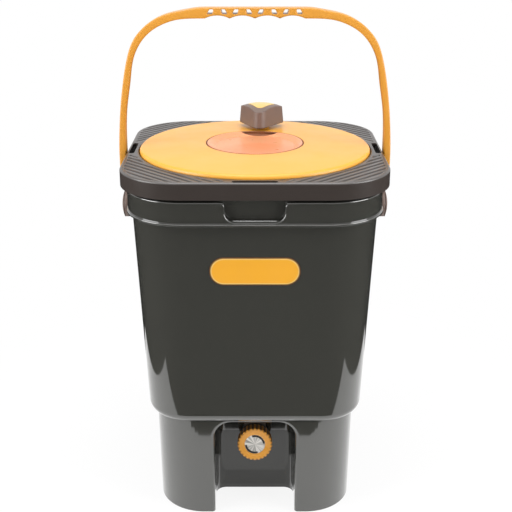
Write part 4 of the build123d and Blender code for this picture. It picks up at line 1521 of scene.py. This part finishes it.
@dataclass
class Cover:
    """The round cover with its dish.

    Attributes:
        under_radius: Where the underside has one more ring between the well and the plug.
        pad_sunk: How far below the crown's edge the latch's pad starts.
        hollow_z: Height of the middle of the ball that cuts the thumb hollow.
    """

    radius: float = 0.1357
    foot_z: float = 0.4235
    edge_z: float = 0.4324
    crown_z: float = 0.4364
    edge_round: float = 0.004
    thick: float = 0.0028
    well_radius: float = 0.05762
    well_z: float = 0.4312
    well_thick: float = 0.0022
    well_round: float = 0.0006
    hole_radius: float = 0.05292
    plug_radius: float = 0.121
    plug_thick: float = 0.003
    plug_z: float = 0.4192
    under_radius: float = 0.09
    crown_steps: int = 8
    pad_radius: float = 0.011
    pad_z: float = 0.4389
    pad_sunk: float = 0.002
    barrel_radius: float = 0.0085
    barrel_z: float = 0.4188
    bore: float = 0.00408
    hollow_z: float = 0.4346
    hollow_deep: float = 0.0012

    def crown(self, radius: float, drop: float = 0.0) -> Point:
        """A point of the crowned top, or at a depth below it.

        Args:
            radius: Distance from the middle.
            drop: Depth below the top.

        Returns:
            The radius and the height.
        """
        fall = self.crown_z - self.edge_z
        ball = (self.radius ** 2 + fall ** 2) / (2 * fall)
        return radius, self.crown_z - drop - ball + math.sqrt(ball ** 2 - radius ** 2)

    def profile(self) -> list[Point]:
        """Closed profile of the cover.

        Returns:
            Radius and height pairs.
        """
        soft = self.edge_round
        shoulder = self.crown(self.radius - soft)
        points = [(self.radius - self.thick, self.foot_z), (self.radius, self.foot_z)]
        points += quarter((self.radius, shoulder[1] - soft), shoulder, upright=True, steps=6)
        rounded = self.well_radius + self.well_round
        span = (shoulder[0] - rounded) / self.crown_steps
        points += [self.crown(shoulder[0] - span * step) for step in range(1, self.crown_steps + 1)]
        lip = self.crown(rounded)
        bottom = (self.well_radius, lip[1] - self.well_round)
        points += quarter(lip, bottom, upright=False, steps=3)[1:]
        points += [(self.well_radius, self.well_z), (self.hole_radius, self.well_z),
                   (self.hole_radius, self.well_z - self.well_thick),
                   (self.well_radius + self.thick, self.well_z - self.well_thick)]
        inside = self.plug_radius - self.plug_thick
        points += [self.crown(self.well_radius + self.thick, self.thick),
                   self.crown(self.under_radius, self.thick), self.crown(inside, self.thick),
                   (inside, self.plug_z), (self.plug_radius, self.plug_z),
                   self.crown(self.plug_radius, self.thick),
                   self.crown(self.radius - self.thick, self.thick)]
        return points

    def shell(self) -> Piece:
        """Models the crowned cover with its pad and barrel.

        Returns:
            The dressed piece.
        """
        shell = stack("Cover_Top", lathe(*self.profile()), 144, closed=True)
        place = Matrix.Translation((*LATCH_AT, 0))
        post = tube("Latch_Post", self.pad_radius, self.bore, self.edge_z - self.pad_sunk, self.pad_z)
        barrel = tube("Latch_Barrel", self.barrel_radius, self.bore, self.barrel_z, self.edge_z)
        drill = plug("Latch_Drill", self.bore, self.barrel_z, self.pad_z + 10 * MM)
        for piece in (post, barrel, drill):
            seat(piece, place)
        combine(shell, drill, "DIFFERENCE")
        shell = joined(post, barrel, shell)
        return dress(smooth(shell), Slot.COVER, Body.COVER, "cover")

    def dish(self) -> Piece:
        """Models the dish with the thumb hollow in its back wall.

        Returns:
            The dressed piece.
        """
        bowl = cad_copy("dish", "Dish_Bowl")
        deselect()
        bpy.ops.mesh.primitive_uv_sphere_add(segments=64, ring_count=32, radius=1)
        tool = bpy.context.object
        tool.scale = (*THUMB_HALF, self.hollow_deep)
        turn = Matrix.Rotation(math.radians(LATCH_TURN), 4, "Z")
        seat(tool, Matrix.Translation((*THUMB_AT, self.hollow_z)) @ turn)
        combine(bowl, tool, "DIFFERENCE")
        return dress(smooth(bowl), Slot.DISH, Body.COVER, "dish")

    def build(self) -> None:
        """Builds the whole sub-assembly."""
        self.shell()
        self.dish()
        keep_node("dish_gasket", Slot.SEAL)
        keep_node("dish_ring", Slot.COVER)
        keep_node("latch_seal", Slot.SEAL)


@dataclass
class Latch:
    """The turning knob with its tongue below the cover.

    Attributes:
        draft: How much less the knob reaches at its top than at its foot.
        spare: Height above the knob's top that it is modelled to, before the dome trims it.
        dome: Radius of the domed top.
        cap_proud: How far the cap's dome stands above the knob's.
        cap_spare: Height above the knob's top that the cap is modelled to, before its dome trims it.
    """

    foot_z: float = 0.4395
    top_z: float = 0.4648
    reach: float = 0.0296
    lobe: float = 0.0108
    draft: float = 0.0026
    edge_round: float = 0.0014
    spare: float = 0.001
    dome: float = 0.0755
    cap_reach: float = 0.0172
    cap_lobe: float = 0.0066
    cap_low: float = 0.4555
    cap_proud: float = 0.0003
    cap_spare: float = 0.002
    cap_round: float = 0.0003

    def triangle(self, name: str, reach: float, lobe: float, low: float, high: float, head: float) -> Piece:
        """Models an upright rounded triangle with one lobe to the front.

        Args:
            name: Name of the piece.
            reach: Distance from its axis to the tip of a lobe.
            lobe: Radius of the lobes.
            low: Height of its foot.
            high: Height of its top.
            head: Size of its top as a share of its foot.

        Returns:
            The new piece.
        """
        deselect()
        bpy.ops.mesh.primitive_circle_add(vertices=3, radius=reach + lobe, fill_type="NGON",
                                          rotation=(0, 0, math.radians(180 + LATCH_TURN)))
        piece = fresh(name)
        with editing():
            round_corners(lobe * math.sqrt(3), 14)
            bpy.ops.mesh.select_all(action="SELECT")
            bpy.ops.mesh.extrude_region_move(TRANSFORM_OT_translate={"value": (0, 0, high - low)})
            bpy.ops.transform.resize(value=(head, head, 1), center_override=(0, 0, 0))
            face_outwards()
        return seat(piece, Matrix.Translation((*LATCH_AT, low)))

    def domed(self, piece: Piece, raised: float) -> Piece:
        """Gives a piece the knob's domed top.

        Args:
            piece: The piece to trim.
            raised: Height of its dome above the knob's.

        Returns:
            The trimmed piece.
        """
        deselect()
        bpy.ops.mesh.primitive_uv_sphere_add(segments=128, ring_count=96, radius=self.dome,
                                             location=(*LATCH_AT, self.top_z + raised - self.dome))
        return combine(piece, seat(bpy.context.object), "INTERSECT")

    def build(self) -> None:
        """Builds the whole sub-assembly."""
        head = 1 - self.draft / self.reach
        spare_top = self.top_z + self.spare
        body = self.triangle("Knob_Body", self.reach, self.lobe, self.foot_z, spare_top, head)
        ease(self.domed(body, 0.0), self.edge_round, segments=3, degrees=40.0)
        dress(smooth(body), Slot.KNOB, Body.LATCH, "knob")
        spare_top = self.top_z + self.cap_spare
        cap = self.triangle("Knob_Cap", self.cap_reach, self.cap_lobe, self.cap_low, spare_top, 1.0)
        ease(self.domed(cap, self.cap_proud), self.cap_round, degrees=40.0)
        dress(smooth(cap), Slot.KNOB_CAP, Body.LATCH, "knob_cap")
        keep_node("latch_spindle", Slot.HARDWARE)
        keep_node("latch_washer", Slot.HARDWARE)
        keep_node("latch_tongue", Slot.KNOB)
        keep_node("latch_nut", Slot.HARDWARE)


@dataclass
class Tap:
    """The drain tap in the recess.

    Attributes:
        mark_high: Where the arcs lie along the tap's axis.
        mark_start: Angle where an arc begins, in degrees.
        mark_sweep: Angle that it spans.
    """

    mark_high: float = 0.0334
    mark_thick: float = 0.0004
    mark_inner: float = 0.0098
    mark_outer: float = 0.0121
    mark_start: float = 5.0
    mark_sweep: float = 103.0

    def marks(self) -> Piece:
        """Models the two printed arcs on the disc.

        Returns:
            The dressed piece.
        """
        deselect()
        middle = (self.mark_inner + self.mark_outer) / 2
        bpy.ops.mesh.primitive_plane_add(size=1, location=(middle, 0, 0),
                                         rotation=(math.radians(90), 0, 0))
        arcs = fresh("Tap_Marks")
        arcs.scale = (self.mark_outer - self.mark_inner, self.mark_thick, 1)
        seat(arcs)
        with editing():
            bpy.ops.transform.rotate(value=math.radians(-self.mark_start), orient_axis="Z",
                                     center_override=(0, 0, 0))
            bpy.ops.mesh.duplicate()
            bpy.ops.transform.rotate(value=math.pi, orient_axis="Z", center_override=(0, 0, 0))
            bpy.ops.mesh.select_all(action="SELECT")
            bpy.ops.mesh.spin(steps=24, angle=-math.radians(self.mark_sweep), center=(0, 0, 0),
                              axis=(0, 0, 1))
            face_outwards()
        leaning = Matrix.Rotation(math.radians(TAP_LEAN), 4, "X")
        seat(arcs, Matrix.Translation(TAP_AXIS) @ leaning @ Matrix.Translation((0, 0, self.mark_high)))
        return dress(smooth(arcs), Slot.TAP_MARK, Body.TAP_PLUG, "tap_marks")

    def build(self) -> None:
        """Builds the whole sub-assembly."""
        copied("tap_body", "Tap_Body", Slot.TAP_BODY, Body.BIN)
        copied("tap_wheel", "Tap_Wheel", Slot.TAP_WHEEL, Body.TAP_PLUG)
        copied("tap_disc", "Tap_Disc", Slot.TAP_DISC, Body.TAP_PLUG)
        self.marks()
        keep_node("tap_valve", Slot.TAP_BODY)
        keep_node("tap_rings", Slot.SEAL)
        keep_node("tap_washer_outer", Slot.SEAL)
        keep_node("tap_washer_inner", Slot.SEAL)
        keep_node("tap_nut", Slot.TAP_BODY)


class StageBoard(NodeBoard):
    """Nodes of the surroundings, started from an empty tree with its output."""

    def __init__(self, owner: Material | bpy.types.World, output: str) -> None:
        """Empties the tree and adds its output.

        Args:
            owner: The material or the world that the tree belongs to.
            output: Type of its output node.
        """
        owner.use_nodes = True
        super().__init__(owner.node_tree)
        self.tree.nodes.clear()
        self.surface = self.add(output).inputs["Surface"]

    def glow(self, kind: str, strength: float, tone: float = 1.0) -> Socket:
        """A plain grey or white light.

        Args:
            kind: Type of its node.
            strength: How bright it is.
            tone: Its grey, 1 for white.

        Returns:
            The shader's socket.
        """
        node = self.add(kind)
        node.inputs["Strength"].default_value = strength
        node.inputs["Color"].default_value = (tone, tone, tone, 1)
        return node.outputs[0]

    def blend(self, share: Socket, first: Socket, second: Socket) -> None:
        """Shows a mix of two shaders.

        Args:
            share: Share of the second one.
            first: The first shader.
            second: The second shader.
        """
        node = self.add("ShaderNodeMixShader")
        for source, target in zip((share, first, second), node.inputs):
            self.join(source, target)
        self.join(node.outputs[0], self.surface)

    def seen_rays(self) -> Socket:
        """A share that is 1 for what the camera sees, straight, in a mirror or through clear pieces.

        Returns:
            The share's socket.
        """
        rays = self.add("ShaderNodeLightPath")
        value = rays.outputs["Is Camera Ray"]
        for other in ("Is Glossy Ray", "Is Transmission Ray"):
            value = self.maths("MAXIMUM", value, rays.outputs[other])
        return value


@dataclass
class Studio:
    """White floor and surroundings, soft lamps and the camera.

    Attributes:
        floor_glow: Share of the floor's white that is its own glow near the bin.
        glow_reach: Distances where that share starts to grow and where it is full.
        table_front: Where the white ground in front of the bin ends for mirrors.
        dark_reach: Where the dark ground beyond it ends.
        recess_shadow_card: Left, right, front and back of the dimmer ground in the recess, a painted shadow
            of the floor that only mirrors show.
        soft_tone: Grey of the surroundings as a light.
    """

    camera_back: float = 1.08772
    camera_height: float = 0.70114
    camera_pitch: float = 20.64
    focal: float = 65.99
    shift: float = 0.00215
    sensor: float = 36.0
    camera_reach: float = 50.0
    floor_size: float = 24.0
    floor_tone: float = 0.9
    floor_glow: float = 0.88
    glow_reach: Point = (0.2, 0.55)
    table_front: float = 0.282
    table_side: float = 0.42
    table_back: float = 0.3
    dark_reach: float = 4.0
    dark_height: float = 0.003
    dark_glow: float = 0.015
    recess_shadow_card: tuple[float, ...] = (-0.045, 0.045, -0.118, -0.070)
    recess_shadow_glow: float = 0.75
    soft_tone: float = 0.8
    soft_strength: float = 0.45
    side_lamp: Place = (1.35, -0.55, 0.75)
    side_aim: Place = (0, 0, 0.25)
    side_size: Point = (0.9, 1.3)
    side_power: float = 22.0
    top_lamp: Place = (0, -0.1, 2.1)
    top_aim: Place = (0, 0, 0.3)
    top_size: Point = (1.6, 1.4)
    top_power: float = 26.0

    def plain(self, name: str) -> Material:
        """White stage paint that looks white and keeps the soft shadows near the bin.

        Args:
            name: The material's name.

        Returns:
            The material.
        """
        material = bpy.data.materials.new(name)
        board = StageBoard(material, "ShaderNodeOutputMaterial")
        paint = board.add("ShaderNodeBsdfDiffuse")
        paint.inputs["Color"].default_value = (self.floor_tone, self.floor_tone, self.floor_tone, 1)
        middle = board.add("ShaderNodeTexCoord").outputs["Object"]
        distance = board.add("ShaderNodeVectorMath", operation="LENGTH")
        board.join(middle, distance.inputs[0])
        fade = board.add("ShaderNodeMapRange")
        fade.inputs["From Min"].default_value, fade.inputs["From Max"].default_value = self.glow_reach
        fade.inputs["To Min"].default_value, fade.inputs["To Max"].default_value = self.floor_glow, 1.0
        board.join(distance.outputs["Value"], fade.inputs["Value"])
        share = board.maths("MULTIPLY", board.seen_rays(), fade.outputs["Result"])
        board.blend(share, paint.outputs[0], board.glow("ShaderNodeEmission", 1.0))
        return material

    def dim(self, name: str, strength: float) -> Material:
        """A plain glow for ground that is only seen in mirrors.

        Args:
            name: The material's name.
            strength: How bright it is.

        Returns:
            The material.
        """
        material = bpy.data.materials.new(name)
        board = StageBoard(material, "ShaderNodeOutputMaterial")
        board.join(board.glow("ShaderNodeEmission", strength), board.surface)
        return material

    def floor(self) -> None:
        """Lays the white floor."""
        deselect()
        bpy.ops.mesh.primitive_plane_add(size=self.floor_size, location=(0, 0, 0))
        floor = fresh("Studio_Floor")
        floor.data.materials.append(self.plain("Studio_White"))

    def flag(self) -> None:
        """Lays the dark ground beyond the white table, and a dimmer card in the tap's recess as a painted
        shadow of the floor there, which only mirrors show.
        """
        far, near, side, back = self.dark_reach, self.table_front, self.table_side, self.table_back
        dark = self.dark_glow
        spans = {"Front": (-far, far, -far, -near, dark), "Left": (-far, -side, -near, back, dark),
                 "Right": (side, far, -near, back, dark), "Back": (-far, far, back, far, dark),
                 # Painted shadow: the dimmer card in the recess stands for the floor's shade seen in the
                 # bin's mirror.
                 "Recess_Shadow": (*self.recess_shadow_card, self.recess_shadow_glow)}
        for name, (left, right, low, high, glow) in spans.items():
            deselect()
            middle = ((left + right) / 2, (low + high) / 2, self.dark_height)
            bpy.ops.mesh.primitive_plane_add(size=1, location=middle)
            card = fresh(f"Studio_Dark_{name}")
            card.scale = (right - left, high - low, 1)
            seat(card)
            card.data.materials.append(self.dim(f"Studio_Ground_{name}", glow))
            card.visible_camera = False
            card.visible_diffuse = False
            card.visible_shadow = False

    def lamp(self, name: str, place: Place, aim: Place, size: Point, power: float) -> None:
        """Hangs a soft lamp.

        Args:
            name: Its name.
            place: Where it hangs.
            aim: What it points at.
            size: Width and height.
            power: In watts.
        """
        deselect()
        bpy.ops.object.light_add(type="AREA", location=place)
        lamp = fresh(name)
        lamp.data.shape = "RECTANGLE"
        lamp.data.size, lamp.data.size_y = size
        lamp.data.energy = power
        direction = Vector(aim) - Vector(place)
        lamp.rotation_euler = direction.to_track_quat("-Z", "Y").to_euler()

    def world(self) -> None:
        """White surroundings."""
        world = bpy.data.worlds.new("Studio_World")
        bpy.context.scene.world = world
        board = StageBoard(world, "ShaderNodeOutputWorld")
        soft = board.glow("ShaderNodeBackground", self.soft_strength, self.soft_tone)
        board.blend(board.seen_rays(), soft, board.glow("ShaderNodeBackground", 1.0))

    def camera(self) -> None:
        """Sets the camera at the photograph's viewing angle."""
        deselect()
        bpy.ops.object.camera_add(location=(0, -self.camera_back, self.camera_height))
        camera = fresh("Studio_Camera")
        camera.rotation_euler = (math.radians(90 - self.camera_pitch), 0, 0)
        camera.data.lens = self.focal
        camera.data.sensor_width = self.sensor
        camera.data.shift_x = self.shift
        camera.data.clip_end = self.camera_reach
        bpy.context.scene.camera = camera

    def build(self) -> None:
        """Builds the studio."""
        self.floor()
        self.flag()
        self.world()
        across, back, high = self.side_lamp
        for name, side in (("Lamp_Left", -1), ("Lamp_Right", 1)):
            place = (side * across, back, high)
            self.lamp(name, place, self.side_aim, self.side_size, self.side_power)
        self.lamp("Lamp_Top", self.top_lamp, self.top_aim, self.top_size, self.top_power)
        self.camera()
        bpy.context.scene.view_settings.view_transform = "Standard"


def main() -> None:
    """Builds the bin and its studio."""
    logging.basicConfig(level=logging.INFO, format="%(message)s")
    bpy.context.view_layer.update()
    for part in (BinShell(), BaseSkirt(), Collar(), Strainer(), Handle(), LidFrame(), Cover(), Latch(),
                 Tap()):
        part.build()
    Studio().build()


if __name__ == "__main__":
    main()
